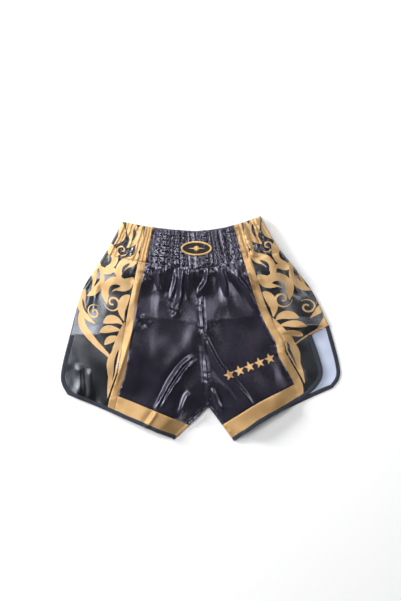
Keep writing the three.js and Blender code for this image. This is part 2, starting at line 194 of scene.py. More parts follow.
# %% Sizes of the cut
CLOTH = 1.0
SKIN = 0.45  # the satin's own thickness
STRIPE_WIDTH = 14
HEM_BAND_WIDTH = 35
BINDING_WIDTH = 7
WAISTBAND_WIDTH = 63
WAIST_FULLNESS = 1.5  # an estimate: the waist is 510 mm round when relaxed, and cut for about 760 mm
ELASTIC_ROWS = 6
WAIST_INSET = 2.5
ROW_PITCH = (WAISTBAND_WIDTH - WAIST_INSET) / ELASTIC_ROWS
WAIST_CENTRE = (-8, 183)
FRONT_RISE = 325
CROTCH = (16, WAIST_CENTRE[1] - FRONT_RISE)
STRIPE_PLACE, DRIFT_START = 0.57, 0.38
NOTCH_DROP = 0.5
HEM_DRAWN = 0.3
BACK_HIGH = 1.3
FLAP_GAP = 1.2
WAIST_LOFT, HEM_LOFT = 10, 9
FOLD_RISE, INSEAM_RISE, TURN_RISE, BAND_FADE = 62, 52, 5, 60
LINING_DEPTH, LINING_CLEARANCE = 1.7, 0.8
LINING_STACK = 2 * (LINING_DEPTH + LINING_CLEARANCE) + LINING_CLEARANCE
SIDE_ROUND, INSEAM_ROUND = 4.5, 3.5  # how far in from each edge the front turns down
FACING_INSET, ELASTIC_INSET = 8, 9
BAND_STITCHES, HEM_STITCHES = 2.2, 9  # rows of stitches, in from the band's seam and from the hem
BADGE_PLACE = (-6.6, 150.5)

LEGS = {
    "left": dict(
        sign=1, waist=(112, -29), band_end=(146, 30), hip=(204, 105), vent=(239, 174), flap=(259.5, 258),
        corner=(247, 289), hem_outer=(196, 312), hem_middle=(118, 350), hem_inner=(62, 388), open=33,
        flap_hem=27, stripe_drift=0.18,
    ),
    "right": dict(
        sign=-1, waist=(144, -18), band_end=(177, 42), hip=(218, 109), vent=(241, 191), flap=(258, 268),
        corner=(246, 302), hem_outer=(196, 322), hem_middle=(112, 357), hem_inner=(47, 385), open=1,
        flap_hem=52, stripe_drift=0,
    ),
}
badge_low, badge_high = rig.box("badge_base")
SHIFT = np.array([(badge_low[i] + badge_high[i]) / 2 / MM - BADGE_PLACE[i] for i in range(2)])
print("the cut's own zero lies at", SHIFT.round(2), "mm in the frame")

# %% [markdown]
# ## Outlines and patches
# A pattern cutter draws each panel with a few points joined by smooth curves. The same is done here: a
# curve knows its length, and a patch stretches between four curves, from the centre seam out to the
# side and from the waist down to the hem. Every seam is then a line on the patch, so neighbouring
# pieces meet exactly.


# %% Curves by length
class Curve:
    """A dense line of points that can be read by its length, from 0 to 1."""

    def __init__(self, points):
        self.points = np.asarray(points, float)
        steps = np.hypot(*np.diff(self.points, axis=0).T)
        self.along = np.concatenate([[0], np.cumsum(steps)])
        self.length = self.along[-1]

    def at(self, t):
        s = np.clip(t, 0, 1) * self.length
        return np.stack([np.interp(s, self.along, self.points[:, i]) for i in (0, 1)], -1)


def smooth_through(points, steps=60):
    """A Catmull-Rom curve through a few points."""
    p = np.asarray(points, float)
    p = np.vstack([p[:1], p, p[-1:]])
    t = np.linspace(0, 1, steps, endpoint=False)[:, None]
    rows = []
    for a, b, c, d in zip(p, p[1:], p[2:], p[3:]):
        v0, v1 = (c - a) / 2, (d - b) / 2
        cubic, square = 2 * b - 2 * c + v0 + v1, -3 * b + 3 * c - 2 * v0 - v1
        rows.append(cubic * t**3 + square * t**2 + v0 * t + b)
    return Curve(np.vstack([*rows, p[-1:]]))


def chain(*curves):
    return Curve(np.vstack([curves[0].points, *[c.points[1:] for c in curves[1:]]]))


def smooth01(t):
    t = np.clip(t, 0, 1)
    return t * t * (3 - 2 * t)


# %% Patches between the seams
class Patch:
    """One leg of one layer: u runs from the centre seam out, v from the waist down."""

    def __init__(self, name, layer):
        leg = LEGS[name]
        self.name, self.layer, self.sign = name, layer, leg["sign"]
        self.stripe_drift = leg["stripe_drift"]
        drawn = leg["open"] if layer == "front" else 0

        def place(key, by=0.0, lower=0.0):
            out, drop = leg[key]
            return np.array([self.sign * (out - by), WAIST_CENTRE[1] - drop - lower])

        centre, crotch = np.array(WAIST_CENTRE, float), np.array(CROTCH, float)
        corner, inner = place("corner", drawn), place("hem_inner")
        waist_end, vent = place("waist"), place("vent")
        flat = np.array([(centre[0] + waist_end[0]) / 2, centre[1] + 2])
        t = np.linspace(0, 1, 80)[:, None]
        self.waist = Curve((1 - t) ** 2 * centre + 2 * t * (1 - t) * flat + t**2 * waist_end)
        self.side = smooth_through([waist_end, place("band_end"), place("hip"), vent])
        self.top = place("vent", drawn, drawn * NOTCH_DROP)
        self.notch = Curve([vent, self.top])
        self.free = smooth_through([self.top, place("flap", drawn), corner])
        hem_outer = place("hem_outer", drawn * HEM_DRAWN)
        self.hem = smooth_through([inner, place("hem_middle"), hem_outer, corner])
        self.bottom = self.hem.at(1 - leg["flap_hem"] / self.hem.length)
        self.inner = chain(Curve([centre, crotch]), Curve([crotch, inner]))
        self.outer = chain(self.side, self.notch, self.free)
        self.crotch_share = FRONT_RISE / self.inner.length
        self.hinge_share = 1 - self.free.length / self.outer.length
        fold = np.vstack([self.side.points, [self.top], [self.bottom]])
        self.fold_line = fold[::-1]
        self.inseam_line = np.array([inner, crotch])

    def at(self, u, v):
        u, v = np.broadcast_arrays(np.asarray(u, float), np.asarray(v, float))
        w = v[..., None]
        place = self.waist.at(u) * (1 - w) + self.hem.at(u) * w
        for edge, side, weight in ((self.inner, 0, (1 - u) ** 2), (self.outer, 1, u**3)):
            straight = self.waist.at(side) * (1 - w) + self.hem.at(side) * w
            place = place + weight[..., None] * (edge.at(v) - straight)
        return place

    def width(self, v):
        return np.hypot(*np.moveaxis(self.at(0, v) - self.at(1, v), -1, 0))

    def length(self, u):
        return np.hypot(*np.moveaxis(self.at(u, 0) - self.at(u, 1), -1, 0))

    def stripe_inner(self, v):
        return STRIPE_PLACE + self.stripe_drift * smooth01((v - DRIFT_START) / (1 - DRIFT_START))

    def stripe_outer(self, v):
        return self.stripe_inner(v) + STRIPE_WIDTH / self.width(v)

    def band_edge(self, u):
        return 1 - HEM_BAND_WIDTH / self.length(u)

    def find(self, points):
        """The u and v of points given in the plan."""
        grid_u, grid_v = np.meshgrid(np.linspace(0, 1, 41), np.linspace(0, 1, 81))
        table = self.at(grid_u, grid_v).reshape(-1, 2)
        uv = []
        for p in points:
            k = np.argmin(((table - p) ** 2).sum(1))
            uv.append([grid_u.flat[k], grid_v.flat[k]])
        h = 1e-4
        uv = np.clip(uv, 0, 1 - 2 * h)
        for _ in range(6):
            here = self.at(uv[:, 0], uv[:, 1])
            du = (self.at(uv[:, 0] + h, uv[:, 1]) - here) / h
            dv = (self.at(uv[:, 0], uv[:, 1] + h) - here) / h
            off = points - here
            det = du[:, 0] * dv[:, 1] - du[:, 1] * dv[:, 0]
            uv[:, 0] += (off[:, 0] * dv[:, 1] - off[:, 1] * dv[:, 0]) / det
            uv[:, 1] += (du[:, 0] * off[:, 1] - du[:, 1] * off[:, 0]) / det
            uv = np.clip(uv, 0, 1 - 2 * h)
        return uv


PATCHES = {(n, layer): Patch(n, layer) for n in LEGS for layer in ("front", "back")}
for key, patch in PATCHES.items():
    print(key, "hem", round(patch.hem.length), "mm, side", round(patch.outer.length), "mm")

# %% [markdown]
# ## How the cloth stands
# Satin shows its shape only by how it shines, so the folds matter more than the outline. The height of
# the front is built in layers: the loft of one layer over the other, the puffs that the elastics
# gather, the pleats that run out of the waistband, the pressed creases from packing, and a faint
# general waviness. Each layer is a smooth function, so the mesh can be as fine as it needs to be.


# %% Smooth noise
def lattice(seed, *shape):
    return np.random.default_rng(seed).uniform(-1, 1, shape)


def noise1(x, seed):
    table = lattice(seed, 512)
    i = np.floor(x).astype(int)
    t = smooth01(x - i)
    return table[i % 512] * (1 - t) + table[(i + 1) % 512] * t


def noise2(x, y, seed):
    table = lattice(seed, 64, 64)
    i, j = np.floor(x).astype(int), np.floor(y).astype(int)
    s, t = smooth01(x - i), smooth01(y - j)
    low = table[i % 64, j % 64] * (1 - s) + table[(i + 1) % 64, j % 64] * s
    high = table[i % 64, (j + 1) % 64] * (1 - s) + table[(i + 1) % 64, (j + 1) % 64] * s
    return low * (1 - t) + high * t


# %% The loft of the front over the back
def loft(patch, xy):
    """Underside of the front cloth over the back, as the frame's own panels have it."""
    x, y = xy[..., 0], xy[..., 1]
    front = PATCHES[patch.name, "front"]
    fold_x = np.interp(y, front.fold_line[:, 1], front.fold_line[:, 0])
    inseam_x = np.interp(y, front.inseam_line[:, 1], front.inseam_line[:, 0])
    from_fold = front.sign * (fold_x - x)
    beside = front.sign * (x - inseam_x)
    from_inseam = np.where(y < CROTCH[1], beside, np.hypot(x - CROTCH[0], y - CROTCH[1]))
    down = np.clip((WAIST_CENTRE[1] - y) / FRONT_RISE, 0, 1)
    height = WAIST_LOFT + (HEM_LOFT - WAIST_LOFT) * down
    in_band = smooth01((y - WAIST_CENTRE[1] + WAISTBAND_WIDTH + BAND_FADE) / BAND_FADE)
    stack = in_band * LINING_STACK * smooth01(from_fold / TURN_RISE)
    opened = smooth01(from_fold / FOLD_RISE) * smooth01(from_inseam / INSEAM_RISE)
    return BACK_HIGH + FLAP_GAP + stack + height * opened


# %% [markdown]
# ### Folds
# A fold is a soft ridge along a short line. It has a width on each side, so one side can be steeper,
# and it fades out at its ends. Each is listed by the few points that it runs through.

# %% Folds by place: line, height, width on each side
FOLDS = [
    ([(-73, 116), (-74, 96), (-71, 72)], 3.6, 4.0, 6.5),
    ([(-96, 112), (-92, 92)], 2.2, 5.0, 5.0),
    ([(-29, 118), (-33, 92), (-36, 62), (-44, 30)], 5.2, 4.0, 7.0),
    ([(-43, 114), (-46, 90), (-55, 48)], 2.8, 3.5, 5.0),
    ([(-20, 116), (-22, 84), (-24, 52)], 2.4, 3.5, 4.5),
    ([(13, 114), (12, 92), (1, 74), (-3, 58)], 3.2, 3.6, 5.0),
    ([(34, 114), (42, 98), (47, 78), (49, 60)], 3.4, 4.0, 6.0),
    ([(60, 114), (70, 98), (84, 80), (101, 48), (108, 24)], 4.2, 6.0, 8.0),
    ([(84, 108), (92, 92), (100, 72)], 2.4, 4.0, 5.0),
    ([(-112, 100), (-118, 70), (-122, 40)], 2.2, 5.0, 7.0),
    ([(-50, 46), (-44, 34), (-52, 22)], 2.2, 5.0, 4.0),
    ([(-108, 26), (-98, 18), (-92, 8)], 2.4, 3.0, 5.0),
    ([(-117, 24), (-132, -22), (-146, -70), (-158, -108)], 2.6, 3.0, 6.0),
    ([(-10, -46), (-38, -70), (-62, -108), (-85, -152)], 4.2, 2.6, 4.2),
    ([(-6, -52), (-30, -78), (-54, -112), (-76, -150)], 3.2, 2.4, 4.0),
    ([(-78, -148), (-98, -176), (-108, -190)], 2.0, 3.0, 4.5),
    ([(4, 2), (32, -58), (70, -102), (110, -152)], 2.4, 3.0, 7.0),
    ([(20, -106), (30, -128), (42, -158)], 2.6, 4.0, 6.0),
    ([(-18, -112), (-30, -136), (-38, -166)], 2.0, 5.0, 5.0),
    ([(-224, -60), (-221, -100), (-226, -134)], 1.2, 6.0, 8.0),
    ([(-206, -70), (-203, -110), (-205, -140)], 1.0, 5.0, 6.0),
    ([(190, -70), (198, -110)], 1.1, 6.0, 9.0),
    ([(150, -8), (158, -60), (172, -110)], 1.2, 5.0, 8.0),
    ([(-188, 96), (-196, 60), (-200, 20)], 1.8, 6.0, 8.0),
    ([(160, 120), (176, 84), (186, 52)], 1.8, 5.0, 8.0),
]
# Pressed creases: a narrow line where the cloth was folded flat, with a change of slope across it.
CREASES = [
    ([(-122, 26), (-70, 21), (-8, 17), (60, 21), (132, 31)], 1.9, 14.0),
    ([(-164, 12), (-214, 4)], 0.8, 10.0),
    ([(150, 30), (218, 22)], 0.8, 10.0),
]


def along_line(line, xy):
    """Distance to a line of points, signed to one side, and the share of the way along it."""
    p = np.asarray(line, float)
    lengths = np.hypot(*np.diff(p, axis=0).T)
    best = np.full(xy.shape[:-1], 1e9)
    signed, share = best.copy(), best.copy()
    for i, (a, b) in enumerate(zip(p, p[1:])):
        t = np.clip(((xy - a) @ (b - a)) / lengths[i] ** 2, 0, 1)
        off = xy - (a + t[..., None] * (b - a))
        far = np.hypot(off[..., 0], off[..., 1])
        side = np.sign((b - a)[0] * off[..., 1] - (b - a)[1] * off[..., 0])
        near = far < best
        best = np.where(near, far, best)
        signed = np.where(near, far * side, signed)
        share = np.where(near, (lengths[:i].sum() + t * lengths[i]) / lengths.sum(), share)
    return signed, share


FOLD_LIFT = 1.75


def folds(xy):
    z = np.zeros(xy.shape[:-1])
    wander = 2.2 * noise2(xy[..., 0] / 23, xy[..., 1] / 23, 5)
    for line, height, left, right in FOLDS:
        s, t = along_line(smooth_through(line, 8).points, xy)
        s = s + 0.5 * wander
        width = np.where(s < 0, right, left)
        ends = smooth01(t / 0.22 + 0.1) * smooth01((1 - t) / 0.4)
        height = FOLD_LIFT * height
        z += height * np.exp(-((s / width) ** 2)) * ends
        z -= 0.35 * height * np.exp(-(((s + 1.6 * right) / (1.5 * right)) ** 2)) * ends
    for line, height, width in CREASES:
        s, t = along_line(line, xy)
        ends = smooth01(t / 0.1) * smooth01((1 - t) / 0.1)
        broken = 0.55 + 0.45 * noise2(xy[..., 0] / 17, xy[..., 1] / 40, 9)
        z += height * broken * ends * np.exp(-np.abs(s + 0.4 * wander) / width)
    return z


# %% [markdown]
# ### Shirring and pleats
# Six elastics are sewn in stretched, so between two rows of stitches the relaxed cloth stands up in
# small puffs. The puffs are pleats that cross every row, so one noise along the waist is shared by all
# rows, and a second one makes each row a little different. Below the last row the same pleats run on
# and fade, the small ones first.


# %% Shirring and pleats
def shirring(q, d):
    row = np.floor((d - WAIST_INSET) / ROW_PITCH)
    across = np.clip((d - WAIST_INSET) / ROW_PITCH - row, 0, 1)
    puff = 0.35 + 0.65 * np.sin(np.pi * across) ** 0.5
    sway = 0.5 * noise2(q / 11, d / 16, 21)
    shared = noise1(q / 2.5 + sway, 22)
    own = noise2(q / 2.2, row * 7.3 + 3, 23)
    pleat = 0.85 * shared + 0.22 * own
    puffs = puff * (0.8 + 2.7 * pleat)
    ruffle = 1.1 * noise1(q / 3.1, 24) * smooth01((WAIST_INSET - d) / WAIST_INSET)
    in_band = smooth01((WAISTBAND_WIDTH + 3 - d) / 4)
    below = np.maximum(d - WAISTBAND_WIDTH, 0)
    fine = 0.9 * noise1(q / 2.9 + sway, 22) * np.exp(-below / 13)
    middle = 1.5 * noise1(q / 6.2 + 0.4 * sway, 25) * np.exp(-below / 36)
    broad = 2.2 * noise1(q / 13 + 0.2 * sway, 26) * np.exp(-below / 85)
    run = (fine + middle + broad) * smooth01(below / 5)
    return in_band * (puffs + ruffle) + (1 - in_band) * run


def waves(xy):
    x, y = xy[..., 0], xy[..., 1]
    return 2.4 * noise2(x / 46, y / 58, 31) + 0.6 * noise2(x / 24 + 5, y / 30, 32)


def rounded(distance, width):
    """0 at an edge, 1 beyond a width from it, with a round shoulder."""
    return np.sqrt(np.clip(1 - np.clip(1 - distance / width, 0, 1) ** 2, 0, 1))


# %% Height of each layer
def seam_marks(patch, u, v, d):
    """The centre seam's ridge with its puckers, and the dips beside the stripe and over the hem band."""
    width = patch.width(v)
    from_centre = u * width
    puckers = 0.8 * noise1(d / 5.5, 41) * np.exp(-((from_centre / 7) ** 2))
    centre = 1.9 * np.exp(-((from_centre / 2.4) ** 2)) - 1.2 * np.exp(-(((from_centre - 5.5) / 3) ** 2))
    low = smooth01((d - WAISTBAND_WIDTH - 20) / 60)
    z = low * (0.8 * centre + 0.8 * puckers) - 0.6 * (1 - low) * np.exp(-((from_centre / 2) ** 2))
    for shift, seam in ((23, patch.stripe_inner(v)), (51, patch.stripe_outer(v))):
        off = (u - seam) * width
        z -= 0.55 * np.exp(-((off / 1.1) ** 2))
        z += 0.5 * noise1(d / 5.1 + shift, 42) * np.exp(-((off / 6) ** 2))
    to_band = (v - patch.band_edge(u)) * patch.length(u)
    panel_side = smooth01((patch.stripe_inner(v) - u) * width / 2)
    z -= panel_side * 0.5 * np.exp(-((to_band / 1.1) ** 2))
    hem_off = (1 - v) * patch.length(u)
    z += 0.9 * noise1((1 - u) * width / 6.5, 43) * np.exp(-((hem_off / 9) ** 2))
    return z


def closing(patch, u, v):
    """Share of the height that is kept where the front turns down to meet the back."""
    width = patch.width(v)
    folded = 1 - smooth01((v - patch.hinge_share + 0.012) / 0.012)
    sewn = smooth01((v - patch.crotch_share) / 0.015)
    at_side = 1 - folded * (1 - rounded((1 - u) * width, SIDE_ROUND))
    at_inseam = 1 - sewn * (1 - rounded(u * width, INSEAM_ROUND))
    return at_side * at_inseam


def front_height(patch, u, v):
    """Upper face of the front cloth."""
    xy = patch.at(u, v)
    d = v * patch.length(u)
    q = patch.sign * u * patch.waist.length
    beyond = smooth01((1 - u) * patch.width(v) / 14 + 0.25)
    body = folds(xy) + waves(xy)
    in_band = smooth01((d - WAISTBAND_WIDTH + 4) / 14)
    detail = shirring(q, d) + in_band * body * beyond + seam_marks(patch, u, v, d)
    z = loft(patch, xy) + CLOTH + detail
    z -= 2.6 * (1 - rounded(d, 3.2))
    floor_z = BACK_HIGH + 0.5
    return floor_z + (np.maximum(z, floor_z + 0.9) - floor_z) * closing(patch, u, v)


def back_height(patch, u, v):
    """Upper, inner face of the back cloth, which lies on the surface."""
    xy = patch.at(u, v)
    d = v * patch.length(u)
    q = patch.sign * u * patch.waist.length + 37
    gathers = 0.35 * np.maximum(shirring(q, d), 0) + 0.12 * np.abs(waves(xy + 90))
    edge = smooth01((1 - u) * patch.width(v) / 6)
    return BACK_HIGH - 0.5 + np.minimum(gathers * edge, 1.1)


HEIGHT = {"front": front_height, "back": back_height}
print("heights: front up to", round(float(front_height(PATCHES["left", "front"], 0.2, 0.1)), 1), "mm")

# %% [markdown]
# ## Making cloth
# A piece of cloth is a thin slab: an outer face, an inner face a skin's thickness below it, and a rim.
# The two faces carry different materials, because satin is glossy and coloured on its right side and
# pale on its wrong side. Plain pieces are grids that follow their seams. Printed pieces are cut with a
# constrained triangulation, so the edge of a printed figure is an edge of the mesh and stays sharp.


# %% From points to a mesh
def add_mesh(name, points, faces, slots, materials):
    mesh = bpy.data.meshes.new(f"{name}_cloth")
    mesh.from_pydata((np.asarray(points) * MM).tolist(), [], [list(f) for f in faces])
    for material in materials:
        mesh.materials.append(material)
    mesh.polygons.foreach_set("material_index", np.asarray(slots, dtype=np.int32))
    mesh.polygons.foreach_set("use_smooth", np.ones(len(mesh.polygons), dtype=bool))
    mesh.update()
    piece = bpy.data.objects.new(f"{name}_cloth", mesh)
    bpy.context.scene.collection.objects.link(piece)
    return piece


def vertex_normals(points, faces):
    normals = np.zeros_like(points)
    a, b, c = (points[faces[:, i]] for i in range(3))
    face_normals = np.cross(b - a, c - a)
    if faces.shape[1] == 4:
        face_normals = np.cross(c - a, points[faces[:, 3]] - b)
    for i in range(faces.shape[1]):
        np.add.at(normals, faces[:, i], face_normals)
    return normals / np.maximum(np.linalg.norm(normals, axis=1, keepdims=True), 1e-9)


def fullness(d):
    """Width of the cut over its relaxed width, at a distance down from the waist."""
    return 1 + (WAIST_FULLNESS - 1) * smooth01((2 * WAISTBAND_WIDTH - d) / WAISTBAND_WIDTH)


def cut_area(points, faces, full):
    """Area of the flat cut: the finished piece's own plan, let out by what the elastics take up."""
    flat = points * (1, 1, 0)
    a, b, c = (flat[faces[:, i]] for i in range(3))
    each = np.linalg.norm(np.cross(b - a, c - a), axis=1) / 2
    if faces.shape[1] == 4:
        each = each + np.linalg.norm(np.cross(c - a, flat[faces[:, 3]] - a), axis=1) / 2
    return (each * np.broadcast_to(full, len(points))[faces].mean(1)).sum()


def rim_of(faces):
    """Edges that belong to one face only, in that face's direction."""
    edges = np.concatenate([faces[:, [i, (i + 1) % faces.shape[1]]] for i in range(faces.shape[1])])
    keys = np.sort(edges, axis=1)
    order = np.lexsort((keys[:, 1], keys[:, 0]))
    same = (np.diff(keys[order], axis=0) == 0).all(1)
    lone = np.ones(len(order), bool)
    lone[:-1] &= ~same
    lone[1:] &= ~same
    return edges[order[lone]]


def slab_faces(faces, count):
    """Faces of a slab whose lower points follow its upper ones. The faces of its rim come last."""
    rim = rim_of(faces)
    sides = np.column_stack([rim[:, 1], rim[:, 0], rim[:, 0] + count, rim[:, 1] + count])
    return [*faces.tolist(), *(faces[:, ::-1] + count).tolist(), *sides.tolist()]


def solid(patch, u, v):
    """Points of the cloth's upper face, in the frame."""
    xy = patch.at(u, v) + SHIFT
    z = HEIGHT[patch.layer](patch, u, v)
    return np.concatenate([xy, z[..., None]], -1)


def grid_faces(rows, columns, turned=False):
    i, j = np.meshgrid(np.arange(rows - 1), np.arange(columns - 1), indexing="ij")
    k = (i * columns + j).ravel()
    faces = np.column_stack([k, k + columns, k + columns + 1, k + 1])
    return faces[:, ::-1] if turned else faces


def panel_grid(patch, from_u, to_u, from_v, to_v, across, down):
    """Grid of u and v between two seams. Each seam is given as a function of the other coordinate."""
    share = np.linspace(0, 1, across)
    u = np.full((len(down), across), STRIPE_PLACE)
    v = np.zeros_like(u)
    for _ in range(6):
        v = from_v(u) + (to_v(u) - from_v(u)) * down[:, None]
        u = from_u(v) + (to_u(v) - from_u(v)) * share
    return u, v


# %% [markdown]
# ## Materials
# Polyester satin is woven so that long floats of bright yarn lie side by side. It reflects light in a
# soft band across the floats, it is almost black where it reflects nothing, and a crumpled patch
# breaks the band up. The weave is a fine ribbing, and the breaking up is a slow change of roughness.
# Both are node groups, because the black, the gold, the print and the tape all use them.


# %% Node helpers
def new_group(name, inputs, outputs):
    tree = bpy.data.node_groups.new(name, "ShaderNodeTree")
    for title, kind, value in inputs:
        socket = tree.interface.new_socket(title, in_out="INPUT", socket_type=kind)
        socket.default_value = value
    for title, kind in outputs:
        tree.interface.new_socket(title, in_out="OUTPUT", socket_type=kind)
    return tree, tree.nodes.new("NodeGroupInput"), tree.nodes.new("NodeGroupOutput")


def node(tree, kind, **settings):
    made = tree.nodes.new(kind)
    for key, value in settings.items():
        if key in made.inputs:
            made.inputs[key].default_value = value
        else:
            setattr(made, key, value)
    return made


def calculate(tree, operation, a, b=None):
    made = tree.nodes.new("ShaderNodeMath")
    made.operation = operation
    for socket, value in zip(made.inputs, (a, b)):
        if value is None:
            continue
        if isinstance(value, (int, float)):
            socket.default_value = value
        else:
            tree.links.new(value, socket)
    return made.outputs[0]


# %% Node group: the weave
def weave_group():
    tree, given, result = new_group(
        "woven_floats",
        [("Yarns per metre", "NodeSocketFloat", 1600.0), ("Slubs", "NodeSocketFloat", 0.5)],
        [("Height", "NodeSocketFloat"), ("Shade", "NodeSocketFloat")],
    )
    place = tree.nodes.new("ShaderNodeTexCoord")
    split = tree.nodes.new("ShaderNodeSeparateXYZ")
    tree.links.new(place.outputs["Object"], split.inputs[0])
    turns = calculate(tree, "MULTIPLY", given.outputs["Yarns per metre"], 2 * math.pi)
    warp = calculate(tree, "SINE", calculate(tree, "MULTIPLY", split.outputs["X"], turns))
    weft_turns = calculate(tree, "MULTIPLY", turns, 0.45)
    weft = calculate(tree, "SINE", calculate(tree, "MULTIPLY", split.outputs["Y"], weft_turns))
    ribs = calculate(tree, "ADD", warp, calculate(tree, "MULTIPLY", weft, 0.4))
    stretch = node(tree, "ShaderNodeMapping")
    stretch.inputs["Scale"].default_value = (900, 60, 60)
    tree.links.new(place.outputs["Object"], stretch.inputs["Vector"])
    slub = node(tree, "ShaderNodeTexNoise", Scale=1.0, Detail=3.0)
    tree.links.new(stretch.outputs[0], slub.inputs["Vector"])
    uneven = calculate(tree, "MULTIPLY", slub.outputs["Fac"], given.outputs["Slubs"])
    height = calculate(tree, "ADD", ribs, calculate(tree, "MULTIPLY", uneven, 2.0))
    shade = calculate(tree, "ADD", calculate(tree, "MULTIPLY", uneven, 0.5), 0.75)
    tree.links.new(height, result.inputs[0])
    tree.links.new(shade, result.inputs[1])
    return tree


def crumple_group():
    tree, given, result = new_group(
        "crumpled_sheen",
        [("Size", "NodeSocketFloat", 30.0), ("Contrast", "NodeSocketFloat", 1.8)],
        [("Mask", "NodeSocketFloat"), ("Height", "NodeSocketFloat")],
    )
    place = tree.nodes.new("ShaderNodeTexCoord")
    broad = node(tree, "ShaderNodeTexNoise", Detail=1.0, Roughness=0.4)
    tree.links.new(place.outputs["Object"], broad.inputs["Vector"])
    tree.links.new(given.outputs["Size"], broad.inputs["Scale"])
    centred = calculate(tree, "SUBTRACT", broad.outputs["Fac"], 0.5)
    mask = calculate(tree, "ADD", calculate(tree, "MULTIPLY", centred, given.outputs["Contrast"]), 0.5)
    tree.links.new(mask, result.inputs[0])
    tree.links.new(calculate(tree, "MULTIPLY", broad.outputs["Fac"], 2.0), result.inputs[1])
    return tree


WEAVE, CRUMPLE = weave_group(), crumple_group()
print("shader groups:", WEAVE.name, "and", CRUMPLE.name)


# %% Satin, in any colour
def woven_material(name, dark, light, roughness, bump, yarns=1600.0, crumple=30.0, **surface):
    """A woven finish between two colours. What is the same all over is set on the shader itself."""
    made = bpy.data.materials.new(name)
    made.use_nodes = True
    tree = made.node_tree
    shader = tree.nodes["Principled BSDF"]
    weave, crush = (tree.nodes.new("ShaderNodeGroup") for _ in range(2))
    weave.node_tree, crush.node_tree = WEAVE, CRUMPLE
    weave.inputs["Yarns per metre"].default_value = yarns
    crush.inputs["Size"].default_value = crumple
    ramp = tree.nodes.new("ShaderNodeMix")
    ramp.data_type = "RGBA"
    ramp.inputs["A"].default_value = (*dark, 1)
    ramp.inputs["B"].default_value = (*light, 1)
    blend = calculate(tree, "MULTIPLY", crush.outputs["Mask"], weave.outputs["Shade"])
    tree.links.new(blend, ramp.inputs["Factor"])
    tree.links.new(ramp.outputs["Result"], shader.inputs["Base Color"])
    low, high = roughness
    spread = calculate(tree, "MULTIPLY", crush.outputs["Mask"], high - low)
    tree.links.new(calculate(tree, "ADD", spread, low), shader.inputs["Roughness"])
    surface_bump = tree.nodes.new("ShaderNodeBump")
    surface_bump.inputs["Strength"].default_value = bump
    surface_bump.inputs["Distance"].default_value = 0.0002
    relief = calculate(tree, "ADD", weave.outputs["Height"], crush.outputs["Height"])
    tree.links.new(relief, surface_bump.inputs["Height"])
    tree.links.new(surface_bump.outputs["Normal"], shader.inputs["Normal"])
    for socket, value in surface.items():
        shader.inputs[socket.replace("_", " ")].default_value = value
    return made


SATIN_SHINE = {"Specular_IOR_Level": 1.0, "IOR": 1.6, "Sheen_Weight": 0.06, "Sheen_Roughness": 0.35}
LAVENDER = (0.62, 0.6, 0.85, 1)
black_satin = woven_material(
    "black_satin", (0.009, 0.008, 0.013), (0.019, 0.017, 0.027), (0.18, 0.25), 0.10,
    Sheen_Tint=LAVENDER, Specular_Tint=(0.84, 0.80, 1, 1), **SATIN_SHINE,
)
gold_satin = woven_material(
    "gold_satin", (0.42, 0.24, 0.092), (0.70, 0.44, 0.20), (0.28, 0.42), 0.25, Metallic=0.3,
    Sheen_Tint=(1, 0.85, 0.6, 1), Specular_Tint=(1, 0.86, 0.62, 1), **SATIN_SHINE,
)
print_black = woven_material(
    "print_black", (0.005, 0.005, 0.006), (0.011, 0.011, 0.013), (0.20, 0.28), 0.10,
    Sheen_Tint=(0.6, 0.68, 0.85, 1), Specular_Tint=(0.86, 0.91, 1, 1), **SATIN_SHINE,
)
print_gold = woven_material(
    "print_gold", (0.50, 0.29, 0.12), (0.80, 0.54, 0.27), (0.30, 0.44), 0.25, Metallic=0.25,
    Sheen_Tint=(1, 0.85, 0.6, 1), Specular_Tint=(1, 0.86, 0.62, 1), **SATIN_SHINE,
)
wrong_side = woven_material(
    "wrong_side", (0.42, 0.47, 0.62), (0.58, 0.64, 0.80), (0.5, 0.7), 0.3, Sheen_Weight=0.2,
)
binding_tape = woven_material(
    "binding_tape", (0.010, 0.012, 0.019), (0.030, 0.036, 0.052), (0.55, 0.75), 0.6,
    yarns=1100.0, Sheen_Weight=0.35, Sheen_Tint=(0.6, 0.7, 0.9, 1),
)
elastic_braid = woven_material(
    "elastic_braid", (0.55, 0.53, 0.48), (0.75, 0.73, 0.68), (0.7, 0.85), 0.8, yarns=900.0,
)
gold_thread = woven_material(
    "gold_thread", (0.46, 0.25, 0.07), (0.84, 0.53, 0.20), (0.38, 0.5), 0.3, yarns=2200.0,
    Specular_Tint=(1, 0.86, 0.62, 1), Sheen_Weight=0.3,
)
black_thread = woven_material(
    "black_thread", (0.008, 0.008, 0.011), (0.024, 0.024, 0.03), (0.42, 0.6), 0.5, yarns=2200.0,
    Sheen_Weight=0.2,
)
print("materials:", len(bpy.data.materials))

# %% [markdown]
# ## Where each piece rides
# Every piece moves with a body of the frame. The front flap and the back flap of each vent fold on a
# line. Cloth that crosses the line bends, so it is blended from the garment to the flap over a short
# band beyond the line.

# %% Bodies and blends
ROOT = "garment"
BEND = 20  # width of the band that bends, in millimetres


def hinge_of(patch):
    body = f"{patch.layer}_{patch.name}_flap"
    joint = next(j for j in frame["record"]["behaviour"]["joints"] if j["child"] == body)
    along = Vector(joint["axis"]).normalized()
    outward = Vector((-along.y, along.x, 0))
    if outward.x * patch.sign < 0:
        outward = -outward
    return body, Vector(joint["pos_m"]), outward


def bend_at_hinge(piece, patch):
    body, place, outward = hinge_of(patch)
    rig.blend(piece, ROOT, body, start=tuple(place), end=tuple(place + outward * BEND * MM))


def beyond_hinge(patch, xy):
    """How far each point lies beyond the fold line, in millimetres."""
    _, place, outward = hinge_of(patch)
    return (xy - np.array(place)[:2] / MM) @ np.array(outward)[:2]


SHEETS = []


